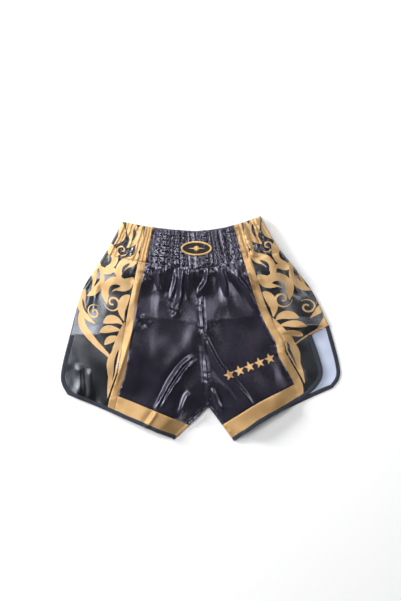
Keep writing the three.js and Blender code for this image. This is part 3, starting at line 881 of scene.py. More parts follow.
def declare(piece, slot, nodes, held="laid", strip=None):
    """Names the piece's finish and the pieces of the frame it stands for, and notes its flat cut.
    A strip is a rectangle, given as (width, length). Any other cut is given by the box of the laid
    piece, which isn't let out at the waist, and by its area, which is."""
    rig.slot(piece, slot)
    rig.replaces(piece, *nodes)
    width, length = np.ptp(np.array(piece.bound_box), axis=0)[:2]
    cut = piece["cut_area"] * MM**2
    if strip:
        width, length = strip[0] * MM, strip[1] * MM
        cut = width * length
    SHEETS.append(dict(obj=piece, flat=(float(width), float(length)), held=held, area=float(cut)))
    return piece


# %% [markdown]
# ## Sewing thread
# Seams on sportswear are lockstitched at about three millimetres a stitch, and each stitch is a short
# rounded thread that sits in its own small dent. The stitches are part of the piece that they are sewn
# through, so they bend with it.


# %% Thread and joined meshes
def thread(path, pitch=2.9, length=2.1, radius=0.2):
    """Short stitches along a line of points in space."""
    path = np.asarray(path, float)
    steps = np.linalg.norm(np.diff(path, axis=0), axis=1)
    along = np.concatenate([[0], np.cumsum(steps)])
    starts = np.arange(pitch / 2, along[-1] - length, pitch)
    spans = starts[:, None] + np.array([0, 0.25, 0.75, 1]) * length
    centres = np.stack([np.interp(spans, along, path[:, i]) for i in range(3)], -1)
    ahead = centres[:, -1:] - centres[:, :1]
    ahead /= np.linalg.norm(ahead, axis=-1, keepdims=True)
    side = np.cross(ahead, (0, 0, 1))
    side /= np.linalg.norm(side, axis=-1, keepdims=True)
    turns = np.arange(6) * math.pi / 3
    thick = radius * np.array([0.25, 1, 1, 0.25])[None, :, None, None]
    lift = np.array([-0.6, 0.3, 0.3, -0.6])[None, :, None, None] * radius
    ring = np.cos(turns)[None, None, :, None] * side[:, :, None] * thick
    ring = ring + (np.sin(turns)[:, None] * np.array([0, 0, 1]))[None, None] * thick
    points = centres[:, :, None] + ring + lift * np.array([0, 0, 1])
    one = []
    for k in (0, 6, 12):
        one += [[k + i, k + (i + 1) % 6, k + 6 + (i + 1) % 6, k + 6 + i] for i in range(6)]
    faces = (np.arange(len(starts)) * 24)[:, None, None] + np.array(one)
    return points.reshape(-1, 3), faces.reshape(-1, 4)


def joined(*parts):
    """One list of points, faces and slots from several (points, faces, slot or slots)."""
    points, faces, slots, count = [], [], [], 0
    for p, f, s in parts:
        points.append(np.asarray(p))
        faces += [[int(k) + count for k in face] for face in f]
        slots += [s] * len(f) if isinstance(s, int) else list(s)
        count += len(p)
    return np.vstack(points), faces, slots


def cloth(name, upper, faces, face_slots, materials, upper_is_inner=False, sewn=(), normals=None,
          full=1.0):
    """A slab of cloth from its upper face. Slot 0 is the wrong side, and the others the right side."""
    if normals is None:
        normals = vertex_normals(upper, faces)
    every = slab_faces(faces, len(upper))
    wrong = np.zeros(len(faces), int)
    upper_slots, lower_slots = (wrong, face_slots) if upper_is_inner else (face_slots, wrong)
    rim_slots = np.ones(len(every) - 2 * len(faces), int)
    slots = np.concatenate([upper_slots, lower_slots, rim_slots])
    slab = (np.vstack([upper, upper - normals * SKIN]), every, slots)
    points, all_faces, all_slots = joined(slab, *sewn)
    piece = add_mesh(name, points, all_faces, all_slots, materials)
    directions = np.vstack([normals, -normals, *[np.zeros((len(s[0]), 3)) for s in sewn]])
    piece.data.normals_split_custom_set_from_vertices(directions.tolist())
    piece["cut_area"] = float(cut_area(upper, faces, full))
    return piece


# %% [markdown]
# ## Panels, stripes and hem bands
# The front and the back of each leg is one black panel, with a gold stripe down the side of it and a
# gold band round the hem. Their grids are finest in the waistband, where the puffs are small.

# %% Black panels, gold stripes, gold hem bands
SATIN_SETS = {
    "black": [wrong_side, black_satin, gold_thread],
    "gold": [wrong_side, gold_satin, gold_thread],
}
COARSE = {"front": 1.0, "back": 2.0}


def grid_piece(name, patch, u, v, colour, slot, sewn=(), strip=None):
    upper = solid(patch, u, v).reshape(-1, 3)
    faces = grid_faces(*u.shape, turned=patch.sign < 0)
    slots = np.ones(len(faces), int)
    full = fullness(v * patch.length(u)).ravel()
    inner = patch.layer == "back"
    piece = cloth(name, upper, faces, slots, SATIN_SETS[colour], inner, sewn, full=full)
    declare(piece, slot, [name], strip=strip)
    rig.ride(piece, ROOT)
    return piece


for (leg, layer), patch in PATCHES.items():
    coarse = COARSE[layer]
    rows = np.concatenate([np.linspace(0, 0.2, int(66 / coarse), endpoint=False),
                           np.linspace(0.2, 1, int(120 / coarse))])
    u, v = panel_grid(patch, lambda v: 0 * v, patch.stripe_inner, lambda u: 0 * u, patch.band_edge,
                      int(110 / coarse), rows)
    grid_piece(f"{layer}_panel_{leg}", patch, u, v, "black", "black_satin")
    u, v = panel_grid(patch, lambda v: 0 * v, patch.stripe_inner, patch.band_edge,
                      lambda u: 0 * u + 1, int(90 / coarse), np.linspace(0, 1, int(24 / coarse)))
    edge_u = np.linspace(0.01, patch.stripe_inner(1) - 0.01, 90)
    seam_v = patch.band_edge(edge_u) + BAND_STITCHES / patch.length(edge_u)
    seam = solid(patch, edge_u, seam_v) + (0, 0, 0.1)
    hem = solid(patch, edge_u, 1 - HEM_STITCHES / patch.length(edge_u)) + (0, 0, 0.1)
    sewn = [(*thread(seam), 2), (*thread(hem), 2)] if layer == "front" else []
    strip = (HEM_BAND_WIDTH, Curve(patch.at(u, v)[-1]).length)
    grid_piece(f"{layer}_hem_band_{leg}", patch, u, v, "gold", "gold_satin", sewn, strip)
    rows = np.concatenate([np.linspace(0, 0.19, int(60 / coarse), endpoint=False),
                           np.linspace(0.19, 1, int(150 / coarse))])
    u, v = panel_grid(patch, patch.stripe_inner, patch.stripe_outer, lambda u: 0 * u,
                      lambda u: 0 * u + 1, int(12 / coarse), rows)
    strip = (STRIPE_WIDTH, Curve(patch.at(u, v)[:, 0]).length)
    grid_piece(f"{layer}_stripe_{leg}", patch, u, v, "gold", "gold_satin", strip=strip)
print("panels:", len(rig.pieces()), "pieces shown so far")

# %% [markdown]
# ## The printed side panels
# Outside the stripe the satin carries a gold scroll print on black. Print lies on the cloth like a
# stain, so it has no edge of its own, and here the two colours are faces of one mesh. The scrolls are
# an ordinary ornament: curved leaves along a stem that sways down the panel, with curls where they
# leave it. It thins out down the panel and leaves the flap plain.


# %% Shapes of the print
def ribbon(middle, half):
    """A closed outline on both sides of a line of points."""
    ahead = np.gradient(middle, axis=0)
    ahead /= np.linalg.norm(ahead, axis=1, keepdims=True)
    across = np.column_stack([-ahead[:, 1], ahead[:, 0]]) * half[:, None]
    return np.vstack([middle + across, (middle - across)[::-1]])


def leaf(points, width, fullest=0.4):
    """A leaf along a smooth line through a few points, pointed at both ends."""
    curve = smooth_through(points, 12)
    t = np.linspace(0.004, 0.996, max(int(curve.length / 2), 10))
    power = math.log(0.5) / math.log(fullest)
    return ribbon(curve.at(t), width / 2 * np.sin(np.pi * t**power) ** 0.85)


def curl(x, y, size, start, turn, thick=0.16):
    """A tendril that rolls up round a point, and ends in a round bud."""
    t = np.linspace(0, 1, 44)
    angle = np.radians(start) + turn * 2 * np.pi * 1.25 * t
    reach = size * (1 - t) ** 0.8 + size * 0.12
    middle = np.column_stack([x + np.cos(angle) * reach, y + np.sin(angle) * reach])
    half = size * thick * (0.25 + 0.75 * smooth01(t * 2.2)) * (1 - 0.35 * t)
    half[-4:] *= 1.25
    return ribbon(middle, half)


def scrollwork():
    """Gold outlines, and the black ones cut back out of them, across from the stripe and down."""
    gold = [
        leaf([(36, -4), (22, 12), (16, 30), (26, 46)], 22),
        leaf([(6, -4), (8, 14), (5, 34), (9, 60)], 13),
        leaf([(50, -2), (42, 14), (40, 30), (50, 46)], 14, 0.5),
        curl(34, 52, 11, 200, -1),
        leaf([(3, 50), (10, 66), (24, 76), (30, 96), (20, 112)], 19),
        leaf([(62, 44), (48, 62), (46, 82), (58, 98)], 18),
        leaf([(28, 98), (40, 92), (54, 98), (70, 90)], 12, 0.55),
        leaf([(74, 78), (70, 100), (62, 118), (66, 140), (78, 152)], 22),
        leaf([(2, 96), (14, 112), (34, 116), (46, 134), (40, 156)], 25),
        curl(30, 150, 14, 20, 1),
        leaf([(2, 128), (10, 140), (12, 158), (4, 176)], 17),
        leaf([(82, 140), (86, 166), (76, 186), (56, 196)], 15),
        curl(61, 176, 12, 250, 1),
        leaf([(2, 184), (16, 178), (30, 180), (42, 190)], 15, 0.6),
        leaf([(2, 194), (16, 194), (32, 198), (46, 208)], 13, 0.62),
        leaf([(2, 204), (14, 209), (26, 216), (34, 227)], 12, 0.6),
        leaf([(84, 176), (80, 204), (58, 224), (34, 238), (6, 252)], 14, 0.35),
        leaf([(2, 176), (7, 214), (11, 256), (4, 318)], 17, 0.45),
        leaf([(2, 226), (16, 240), (20, 262), (12, 286)], 9),
    ]
    black = [
        leaf([(20, 8), (17, 20), (20, 34)], 6),
        leaf([(14, 72), (23, 84), (22, 98)], 6),
        leaf([(67, 96), (63, 116), (68, 132)], 6),
        leaf([(22, 117), (36, 124), (39, 142)], 8),
        leaf([(84, 158), (78, 176), (66, 186)], 4),
        leaf([(6, 228), (8, 252), (6, 284)], 5),
        leaf([(53, 66), (50, 78), (54, 88)], 5),
    ]
    return gold, black


def inside(points, polygon):
    x, y = points[:, 0][:, None], points[:, 1][:, None]
    a, b = polygon, np.roll(polygon, -1, axis=0)
    rise = np.where(b[:, 1] == a[:, 1], 1e-12, b[:, 1] - a[:, 1])
    crosses = (a[:, 1] > y) != (b[:, 1] > y)
    return ((crosses & (x < a[:, 0] + (y - a[:, 1]) * (b[:, 0] - a[:, 0]) / rise)).sum(1) % 2) == 1


def hexes(low, high, pitch):
    """Points over a box, in rows that are shifted by half a step in turn."""
    rows = []
    for k, y in enumerate(np.arange(low[1], high[1], pitch * 0.87)):
        x = np.arange(low[0] + (k % 2) * pitch / 2, high[0], pitch)
        rows.append(np.column_stack([x, np.full(len(x), y)]))
    return np.vstack(rows)


def triangulate(border, figures, filling, lines=()):
    """Triangles of the border, with the figures' outlines and the lines among their edges."""
    points, edges = [], []
    for loop, closed in [(border, True), *[(f, True) for f in figures], *[(f, False) for f in lines]]:
        first = len(points)
        points += [tuple(p) for p in loop]
        edges += [(first + i, first + i + 1) for i in range(len(loop) - 1)]
        if closed:
            edges.append((len(points) - 1, first))
    drawn = np.array(points)
    filling = filling[inside(filling, border)]
    clear = np.ones(len(filling), bool)
    for i in range(0, len(filling), 500):
        gap = filling[i:i + 500, None] - drawn[None]
        clear[i:i + 500] = (gap**2).sum(-1).min(1) > 0.5
    points += [tuple(p) for p in filling[clear]]
    made = delaunay_2d_cdt([Vector(p) for p in points], edges, [], 0, 1e-4)
    verts, faces = np.array([v[:] for v in made[0]]), np.array([list(f) for f in made[2]])
    return verts, faces[inside(verts[faces].mean(1), border)]


def facing_up(points, faces):
    """The same triangles, all turned to face up in the plan."""
    a, b, c = (points[faces[:, i], :2] for i in range(3))
    turned = (b - a)[:, 0] * (c - a)[:, 1] - (b - a)[:, 1] * (c - a)[:, 0] < 0
    return np.where(turned[:, None], faces[:, ::-1], faces)


# %% Side panels
def side_cloth(patch):
    length = patch.length(0.8)
    pitch = 1.9 if patch.layer == "front" else 3.2
    marks = [patch.side.length / patch.outer.length, patch.hinge_share]
    v = np.unique(np.concatenate([np.linspace(0, 1, int(length / pitch)), marks]))

    def width_at(down):
        share = np.clip(np.asarray(down, float) / length, 0, 1)
        return (1 - patch.stripe_outer(share)) * patch.width(share)

    top = np.linspace(0, width_at(0), int(width_at(0) / pitch))[1:-1]
    low = np.linspace(0, width_at(length), int(width_at(length) / pitch))[1:-1]
    border = np.vstack([
        np.column_stack([0 * v, v * length]),
        np.column_stack([low, 0 * low + length]),
        np.column_stack([width_at(v * length), v * length])[::-1],
        np.column_stack([top, 0 * top])[::-1],
    ])
    filling = np.vstack([
        hexes((0.6, 0.6), (120, 66), 1.25 if patch.layer == "front" else 2.6),
        hexes((0.6, 66), (120, length), pitch),
    ])
    lines = []
    if (patch.name, patch.layer) == ("left", "front"):
        line = patch.top + np.linspace(0, 1, 60)[:, None] * (patch.bottom - patch.top)
        uv = patch.find(line[1:-1])
        uv = np.vstack([[1, patch.hinge_share], uv, patch.find(patch.bottom[None])])
        uv[-1, 1] = 1
        across = (uv[:, 0] - patch.stripe_outer(uv[:, 1])) * patch.width(uv[:, 1])
        lines = [np.column_stack([across, uv[:, 1] * length])]
    gold, black = scrollwork()
    verts, faces = triangulate(border, gold + black, filling, lines)
    centres = verts[faces].mean(1)
    printed = np.any([inside(centres, figure) for figure in gold], axis=0)
    printed &= ~np.any([inside(centres, figure) for figure in black], axis=0)
    share = np.clip(verts[:, 1] / length, 0, 1)
    u = np.clip(patch.stripe_outer(share) + verts[:, 0] / patch.width(share), 0, 1)
    upper = solid(patch, u, share)
    return upper, facing_up(upper, faces), 1 + printed, share


PRINT_SET = [wrong_side, print_black, print_gold]
for (leg, layer), patch in PATCHES.items():
    upper, faces, slots, share = side_cloth(patch)
    normals = vertex_normals(upper, faces)
    nodes = [f"{layer}_side_panel_{leg}", f"{layer}_flap_{leg}"]
    if (leg, layer) == ("left", "front"):
        middle = upper[faces].mean(1)[:, :2]
        flap = (beyond_hinge(patch, middle) > 0) & (share[faces].mean(1) > patch.hinge_share)
        for node_name, chosen in zip(nodes, (~flap, flap)):
            used, index = np.unique(faces[chosen], return_inverse=True)
            part = index.reshape(-1, 3)
            piece = cloth(node_name, upper[used], part, slots[chosen], PRINT_SET, normals=normals[used],
                          full=fullness(share[used] * patch.length(0.8)))
            declare(piece, "printed_satin", [node_name])
            if chosen is flap:
                bend_at_hinge(piece, patch)
            else:
                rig.ride(piece, ROOT)
        continue
    full = fullness(share * patch.length(0.8))
    piece = cloth(nodes[0], upper, faces, slots, PRINT_SET, layer == "back", full=full)
    declare(piece, "printed_satin", nodes)
    bend_at_hinge(piece, patch)
    gold_share = round(100 * (slots == 2).mean())
    print(piece.name, "has", len(faces), "triangles, and", gold_share, "% are gold")

# %% [markdown]
# ## Bindings
# A folded tape closes the raw edge of each hem and of each vent. It grips the cloth from both sides,
# seven millimetres deep, and one row of stitches near its inner edge holds it. It has its own slight
# waviness, because the tape is firmer than the satin that it holds.


# %% Bound edges
PROFILE = np.array([
    (7.0, 0.1), (6.9, 0.36), (5.6, 0.5), (3.6, 0.56), (1.6, 0.56), (0.2, 0.44),
    (-0.6, 0.12), (-0.75, -0.2), (-0.6, -0.5), (0.3, -0.72), (3.5, -0.76), (6.9, -0.74),
    (6.95, -0.52), (3.5, -0.5), (0.2, -0.48), (-0.25, -0.2), (0.2, 0.08), (3.5, 0.05),
])


def swept(name, patch, edge, seed, materials):
    """A bound edge along a line of points in the plan. The leg decides on which side the cloth lies."""
    steps = np.gradient(edge, axis=0)
    ahead = steps / np.linalg.norm(steps, axis=1, keepdims=True)
    inward = np.column_stack([-ahead[:, 1], ahead[:, 0]]) * patch.sign
    soft = inward.copy()
    for _ in range(12):
        soft[1:-1] = (soft[:-2] + soft[1:-1] * 2 + soft[2:]) / 4
    inward = soft / np.linalg.norm(soft, axis=1, keepdims=True)
    run = np.concatenate([[0], np.cumsum(np.linalg.norm(np.diff(edge, axis=0), axis=1))])
    depth = 1 + 0.05 * noise1(run / 19, seed)
    depths = (0.4, 3.5, 6.6)
    heights = []
    for n in depths:
        uv = patch.find(edge + inward * n)
        heights.append(HEIGHT[patch.layer](patch, uv[:, 0], uv[:, 1]))
    heights = np.array(heights)
    rings = []
    for n, h in PROFILE:
        xy = edge + inward * (n * depth)[:, None] + SHIFT
        base = np.array([np.interp(n, depths, column) for column in heights.T])
        pucker = 0.1 * noise1(run / 3.1, seed + 1) * (h > 0)
        rings.append(np.column_stack([xy, np.maximum(base + h + pucker, 0.03)]))
    points = np.stack(rings, 1)
    rows, around = points.shape[:2]
    k = np.arange(rows - 1)[:, None] * around
    i = np.arange(around)
    after = (i + 1) % around
    faces = np.stack([k + i, k + after, k + around + after, k + around + i], -1).reshape(-1, 4)
    if patch.sign > 0:
        faces = faces[:, ::-1]
    ends = [list(range(around)), list(range((rows - 1) * around, rows * around))[::-1]]
    ends = ends if patch.sign > 0 else [e[::-1] for e in ends]
    row_line = (points[:, 2] * 0.6 + points[:, 3] * 0.4) + (0, 0, 0.05)
    body = (points.reshape(-1, 3), [*faces.tolist(), *ends], 0)
    piece = add_mesh(name, *joined(body, (*thread(row_line), 1)), materials)
    piece["cut_area"] = float(run[-1] * 2 * BINDING_WIDTH)
    return piece


def resample(points, pitch):
    curve = Curve(points)
    return curve.at(np.linspace(0, 1, int(curve.length / pitch) + 1))


def declare_tape(piece, nodes):
    """Tape is cut as a strip, twice as wide as the edge that it covers."""
    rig.slot(piece, "binding_tape")
    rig.replaces(piece, *nodes)
    cut = piece["cut_area"] * MM**2
    width = 2 * BINDING_WIDTH * MM
    SHEETS.append(dict(obj=piece, flat=(width, cut / width), held="folded", area=cut))


for seed, ((leg, layer), patch) in enumerate(PATCHES.items()):
    edge = resample(np.vstack([patch.hem.points, patch.free.points[::-1][1:]]), 2.2)
    tape = swept(f"{layer}_hem_binding_{leg}", patch, edge, 60 + 2 * seed, [binding_tape, black_thread])
    declare_tape(tape, [f"{layer}_hem_binding_{leg}", f"{layer}_flap_binding_{leg}"])
    bend_at_hinge(tape, patch)
print("bindings made")

# %% [markdown]
# ## Inside the waistband
# The satin is folded in at the waist and sewn down at each elastic, so the inside of the waistband is
# satin too. The elastics lie between the two layers and can't be seen, but they are what draws the
# cloth up into puffs.


# %% Waist facings
def facing(layer):
    rows, down = [], np.linspace(0, WAISTBAND_WIDTH, 56)
    for leg, side in (("left", -1), ("right", 1)):
        patch = PATCHES[leg, layer]
        share = np.linspace(0, 1, 110)
        last = 1 - FACING_INSET / patch.width(0.1)
        u = share * last if side > 0 else (share * last)[::-1][:-1]
        v = down[:, None] / patch.length(u)[None]
        u = np.broadcast_to(u, v.shape)
        xy = patch.at(u, v)
        q = patch.sign * u * patch.waist.length
        gathers = 0.4 * shirring(q + 11, down[:, None] + 0 * u)
        outer = HEIGHT[layer](patch, u, v)
        if layer == "front":
            hung = loft(patch, xy) - LINING_DEPTH + np.minimum(gathers, 0.3)
            turned = outer - SKIN - 0.15
        else:
            hung = BACK_HIGH + LINING_DEPTH + LINING_CLEARANCE + gathers
            turned = outer + SKIN + 0.15
        z = turned + (hung - turned) * rounded(down[:, None] + 0 * u, 4)
        rows.append(np.concatenate([xy + SHIFT, z[..., None]], -1))
    grid = np.concatenate(rows, axis=1)
    faces = grid_faces(*grid.shape[:2], turned=True)
    slots = np.ones(len(faces), int)
    piece = cloth(f"waist_facing_{layer}", grid.reshape(-1, 3), faces, slots,
                  SATIN_SETS["black"], layer == "front")
    relaxed = sum(PATCHES[leg, layer].waist.length for leg in LEGS)
    strip = (WAIST_FULLNESS * relaxed, WAISTBAND_WIDTH)
    declare(piece, "black_satin", [f"waist_facing_{layer}"], held="gathered", strip=strip)
    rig.ride(piece, ROOT)


facing("front")
facing("back")


# %% Elastics
ELASTIC_WIDTH, ELASTIC_THICK = 8.0, 0.7


def elastic(index):
    """A flat band all the way round: across the front, round the side, across the back."""
    middle = WAIST_INSET + ROW_PITCH * (index - 0.5)
    loops = []
    for layer, first, second in (("front", "left", "right"), ("back", "right", "left")):
        for leg, way in ((first, -1), (second, 1)):
            patch = PATCHES[leg, layer]
            u = np.linspace(0, 1 - ELASTIC_INSET / patch.width(0.1), 60)[::way]
            v = middle / patch.length(u)
            xy = patch.at(u, v)
            z = loft(patch, xy) - 0.85 if layer == "front" else BACK_HIGH + 0.85 + 0 * u
            loops.append(np.column_stack([xy + SHIFT, z]))
    path = np.vstack([loops[0], loops[1][1:], loops[2], loops[3][1:]])
    half = np.array([0, ELASTIC_WIDTH / 2, 0])
    thick = np.array([0, 0, ELASTIC_THICK / 2])
    above, below = path + thick, path - thick
    rings = np.stack([above + half, above - half, below - half, below + half], 1)
    count = len(path)
    k, i = np.arange(count)[:, None], np.arange(4)
    after = (k + 1) % count
    faces = np.stack([k * 4 + i, k * 4 + (i + 1) % 4, after * 4 + (i + 1) % 4, after * 4 + i], -1)
    piece = add_mesh(f"elastic_{index}", rings.reshape(-1, 3), faces.reshape(-1, 4).tolist(),
                     [0] * (4 * count), [elastic_braid])
    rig.slot(piece, "elastic")
    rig.replaces(piece, f"elastic_{index}")
    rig.ride(piece, ROOT)
    return piece


ELASTICS = [elastic(index) for index in range(1, ELASTIC_ROWS + 1)]
print("waistband:", ELASTIC_ROWS, "elastics between two layers of satin")


# %% Crotch gusset
def gusset():
    """A four-cornered piece let in where the four panels meet, inside the shorts."""
    low, high = (np.array(c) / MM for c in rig.box("crotch_gusset"))
    share = np.linspace(-1, 1, 25)
    p, q = np.meshgrid(share, share)
    centre, half = (low + high) / 2, (high - low) / 2
    x = centre[0] + half[0] * (p + q) / 2
    y = centre[1] + half[1] * (q - p) / 2
    z = centre[2] + 0.2 * noise2(x / 7, y / 7, 71)
    upper = np.stack([x, y, z], -1).reshape(-1, 3)
    faces = facing_up(upper, grid_faces(25, 25)[:, :3])
    faces = np.vstack([faces, facing_up(upper, grid_faces(25, 25)[:, [0, 2, 3]])])
    piece = cloth("crotch_gusset", upper, faces, np.ones(len(faces), int), SATIN_SETS["black"])
    declare(piece, "black_satin", ["crotch_gusset"])
    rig.ride(piece, ROOT)


gusset()

# %% [markdown]
# ## The badge
# An oval woven badge is sewn over the middle of the waistband and holds the shirring flat beneath it.
# Its rim and its emblem are satin stitch: threads laid side by side over padding, so both stand up
# and show fine ribs across them. The emblem is a plain compass star.


# %% Badge shapes
def badge_top(xy):
    """The badge lies flat over the puffs, a little bowed across the shorts."""
    patch = PATCHES["left", "front"]
    base = loft(patch, np.broadcast_to(np.array(BADGE_PLACE, float), xy.shape))
    off = (xy - BADGE_PLACE) / (28, 13)
    bowed = base + CLOTH + 2.5 - 0.5 * (off**2).sum(-1)
    return bowed + 0.12 * noise2(xy[..., 0] / 5, xy[..., 1] / 5, 81)


def padded_shape(outline, height, top, pitch=0.9, ribs=None):
    """A raised shape: full in the middle, rounded to its outline, with ribs across it."""
    low, high = outline.min(0), outline.max(0)
    verts, faces = triangulate(outline, [], hexes(low, high, pitch))
    ring = np.roll(outline, -1, axis=0)
    gap = np.full(len(verts), 1e9)
    for a, b in zip(outline, ring):
        t = np.clip(((verts - a) @ (b - a)) / ((b - a) @ (b - a)), 0, 1)
        gap = np.minimum(gap, np.linalg.norm(verts - a - t[:, None] * (b - a), axis=1))
    rise = height * rounded(gap, 1.5)
    if ribs is not None:
        rise = rise + 0.07 * np.sin(verts @ np.asarray(ribs)) * rounded(gap, 1.0)
    z = top(verts) + rise
    upper = np.column_stack([verts + SHIFT, z])
    lower = np.column_stack([verts + SHIFT, top(verts) - 0.25])
    return np.vstack([upper, lower]), slab_faces(facing_up(upper, faces), len(upper))


def oval(width, height, count=96):
    t = np.linspace(0, 2 * np.pi, count, endpoint=False)
    return np.column_stack([np.cos(t) * width / 2, np.sin(t) * height / 2]) + BADGE_PLACE


def star(points, outer, inner, turn, centre, sideways=None):
    t = np.radians(turn) + np.arange(2 * points) * np.pi / points
    r = np.where(np.arange(2 * points) % 2 == 0, outer, inner)
    r = np.where(np.abs(np.sin(t)) < 1e-6, sideways or r, r)
    corners = np.column_stack([np.cos(t) * r, np.sin(t) * r])
    sides = zip(corners, np.roll(corners, -1, axis=0))
    return np.array([a + (b - a) * s for a, b in sides for s in np.arange(0, 1, 0.25)]) + centre


# %% Badge pieces
TRIMS = []


def sewn_on(name, points, faces, materials, slot, slots=None):
    piece = add_mesh(name, points, faces, slots or [0] * len(faces), materials)
    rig.slot(piece, slot)
    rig.replaces(piece, name)
    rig.ride(piece, ROOT)
    TRIMS.append(piece)
    return piece


badge_black = woven_material(
    "badge_black", (0.006, 0.006, 0.008), (0.02, 0.02, 0.024), (0.6, 0.8), 0.7, yarns=1300.0,
    Sheen_Weight=0.2,
)
BADGE_SIZE = (55, 25)
RING_REACH = np.array([26.6, 11.6])  # half the width and height of the rim's middle line
RING_STEPS, RING_SIDES = 300, 10
RING_HALF_WIDTH, RING_HALF_HEIGHT = 1.45, 0.85
points, faces = padded_shape(oval(*BADGE_SIZE), 0.25, badge_top)
points[len(points) // 2:, 2] -= 1.2
sewn_on("badge_base", points, faces, [badge_black], "badge_twill")
around = np.linspace(0, 2 * np.pi, RING_STEPS, endpoint=False)
profile = np.linspace(0, 2 * np.pi, RING_SIDES, endpoint=False)
circle = np.column_stack([np.cos(around), np.sin(around)])
centre_line = circle * RING_REACH + BADGE_PLACE
out = circle / RING_REACH
out /= np.linalg.norm(out, axis=1, keepdims=True)
rib = 1 + 0.09 * (np.arange(RING_STEPS) % 2)
ring_out = np.cos(profile)[None] * RING_HALF_WIDTH * rib[:, None]
ring_up = np.sin(profile)[None] * RING_HALF_HEIGHT * rib[:, None]
ring_xy = centre_line[:, None] + out[:, None] * ring_out[..., None]
ring_z = badge_top(centre_line)[:, None] + 0.35 + ring_up
ring_points = np.concatenate([ring_xy + SHIFT, ring_z[..., None]], -1).reshape(-1, 3)
k, i = np.meshgrid(np.arange(RING_STEPS), np.arange(RING_SIDES), indexing="ij")
here, ahead, above = k * RING_SIDES, (k + 1) % RING_STEPS * RING_SIDES, (i + 1) % RING_SIDES
ring_faces = np.stack([here + i, ahead + i, ahead + above, here + above], -1).reshape(-1, 4)
sewn_on("badge_ring", ring_points, ring_faces.tolist(), [gold_thread], "gold_thread")
emblem = star(8, 7.5, 3.75, 90, BADGE_PLACE, sideways=19)
points, faces = padded_shape(emblem, 0.8, badge_top, 0.7, (6, 3))
sewn_on("badge_motif", points, faces, [gold_thread], "gold_thread")


# %% [markdown]
# ## Marks on the leg
# Five gold stars run up the wearer's left leg. Each is satin with a satin-stitched edge, and it
# follows the cloth that it is sewn to.

# %% Stars
MARK_COUNT, MARK_ROW, MARK_SLOPE, MARK_PITCH, MARK_SIZE = 5, (91, -67), 0.4, 20, 19
leg_front = PATCHES["left", "front"]


def on_leg(xy):
    uv = leg_front.find(xy)
    return front_height(leg_front, uv[:, 0], uv[:, 1])


def border(outline, radius):
    """A corded edge of thread round a closed outline."""
    line = np.vstack([outline, outline[:1]])
    return thread(np.column_stack([line + SHIFT, on_leg(line) + 0.35]), 1.0, 1.5, radius)


for index in range(MARK_COUNT):
    step = (index - MARK_COUNT // 2) * MARK_PITCH
    slope = math.atan(MARK_SLOPE)
    centre = np.array(MARK_ROW) + step * np.array([math.cos(slope), math.sin(slope)])
    outline = star(5, MARK_SIZE / 2, MARK_SIZE * 0.2, 90 + math.degrees(slope), centre)
    body = padded_shape(outline, 0.35, on_leg, 1.1)
    points, faces, slots = joined((*body, 0), (*border(outline, 0.4), 1))
    sewn_on(f"leg_mark_{index + 1}", points, faces, [print_gold, gold_thread], "gold_print", slots)
print("marks made, and", len(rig.pieces()), "pieces are shown")

# %% [markdown]
# ## The surface, the light and the camera
# The shorts lie on plain white. One large, low lamp stands far off at the upper left and makes the soft
# shadow at the right. It lights the cloth but isn't mirrored in the satin: the windows and the ceiling
# draw the bright bands there, and the pale surroundings and three weak lamps fill the rest.

# %% Floor
floor_mesh = bpy.data.meshes.new("floor")
REACH = 3
corners = [(-REACH, -REACH, 0), (REACH, -REACH, 0), (REACH, REACH, 0), (-REACH, REACH, 0)]
floor_mesh.from_pydata(corners, [], [(0, 1, 2, 3)])
floor = bpy.data.objects.new("floor", floor_mesh)
bpy.context.scene.collection.objects.link(floor)
white = bpy.data.materials.new("plain_white")
white.use_nodes = True
white_shader = white.node_tree.nodes["Principled BSDF"]
white_shader.inputs["Base Color"].default_value = (0.9, 0.9, 0.9, 1)
white_shader.inputs["Roughness"].default_value = 0.9
white_shader.inputs["Specular IOR Level"].default_value = 0.0
floor_mesh.materials.append(white)
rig.stage(floor)

# %% Lamps, surroundings and camera
scene = bpy.context.scene
scene.view_settings.view_transform = "Standard"
scene.view_settings.look = "None"
scene.view_settings.exposure = -0.3


def lamp(name, place, size, power, colour=(1, 1, 1), target=(0, 0, 0)):
    data = bpy.data.lights.new(name, "AREA")
    data.shape = "RECTANGLE"
    data.size, data.size_y = size
    data.energy, data.color = power, colour
    made = bpy.data.objects.new(name, data)
    made.location = place
    made.rotation_euler = (Vector(target) - Vector(place)).to_track_quat("-Z", "Y").to_euler()
    scene.collection.objects.link(made)
    return made


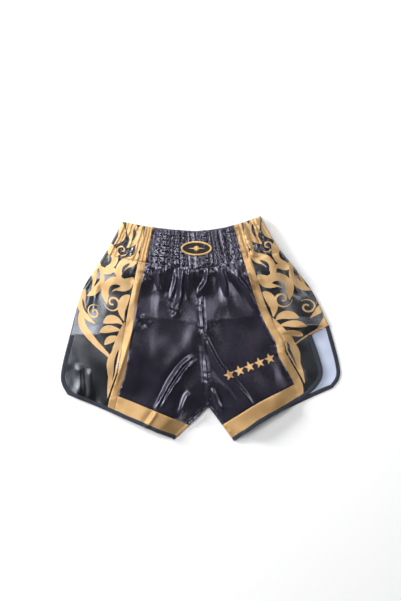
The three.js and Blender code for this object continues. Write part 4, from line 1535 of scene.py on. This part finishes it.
lamp("low_key", (-5.5, 2.75, 1.4), (1.5, 1.25), 1150).visible_glossy = False
lamp("right_lamp", (1.8, 0.1, 1.2), (0.4, 0.8), 2)
lamp("near_lamp", (0.4, -1.8, 1.2), (1.0, 0.3), 2.5)
lamp("far_lamp", (0.3, 1.8, 1.2), (1.4, 0.3), 2.5)
lamp("high_window", (-0.35, 1.3, 1.55), (1.3, 0.4), 21)
lamp("left_window", (-1.3, 0.1, 1.55), (0.4, 1.1), 17)
lamp("right_window", (1.15, 0.1, 1.7), (0.25, 0.9), 5)
lamp("ceiling", (-0.38, 0.5, 1.9), (0.65, 0.5), 3.6)
surroundings = bpy.data.worlds.new("white_room")
surroundings.use_nodes = True
sky = surroundings.node_tree
place = sky.nodes.new("ShaderNodeTexCoord")
split = sky.nodes.new("ShaderNodeSeparateXYZ")
sky.links.new(place.outputs["Generated"], split.inputs[0])
ramp = sky.nodes.new("ShaderNodeMapRange")
for socket, value in {"From Min": 0.97, "From Max": 0.7, "To Min": 0.035, "To Max": 0.12}.items():
    ramp.inputs[socket].default_value = value
sky.links.new(split.outputs["Z"], ramp.inputs["Value"])
background = sky.nodes["Background"]
background.inputs["Color"].default_value = (0.90, 0.93, 1, 1)
sky.links.new(ramp.outputs["Result"], background.inputs["Strength"])
scene.world = surroundings

camera_data = bpy.data.cameras.new("camera")
camera_data.lens = 51.6
camera_data.sensor_width = 36
camera = bpy.data.objects.new("camera", camera_data)
camera.location = (0, 0.0545, 1.6)
scene.collection.objects.link(camera)
scene.camera = camera

WORN_ON = {"front_panel_left_cloth": TRIMS, "waist_facing_front_cloth": ELASTICS}
for sheet in SHEETS:
    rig.sheet(**sheet, with_pieces=WORN_ON.get(sheet["obj"].name, ()))
print("sheets declared:", len(SHEETS))

# %% Sizes, and the end
own_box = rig.bounds()
with open("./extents.json", "w") as sizes:
    json.dump({"cad": [list(c) for c in CAD_BOX], "visual": [list(c) for c in own_box]}, sizes)
for label, box in (("frame", CAD_BOX), ("made", own_box)):
    print(label, [round((box[1][i] - box[0][i]) * 1000, 1) for i in range(3)], "mm")
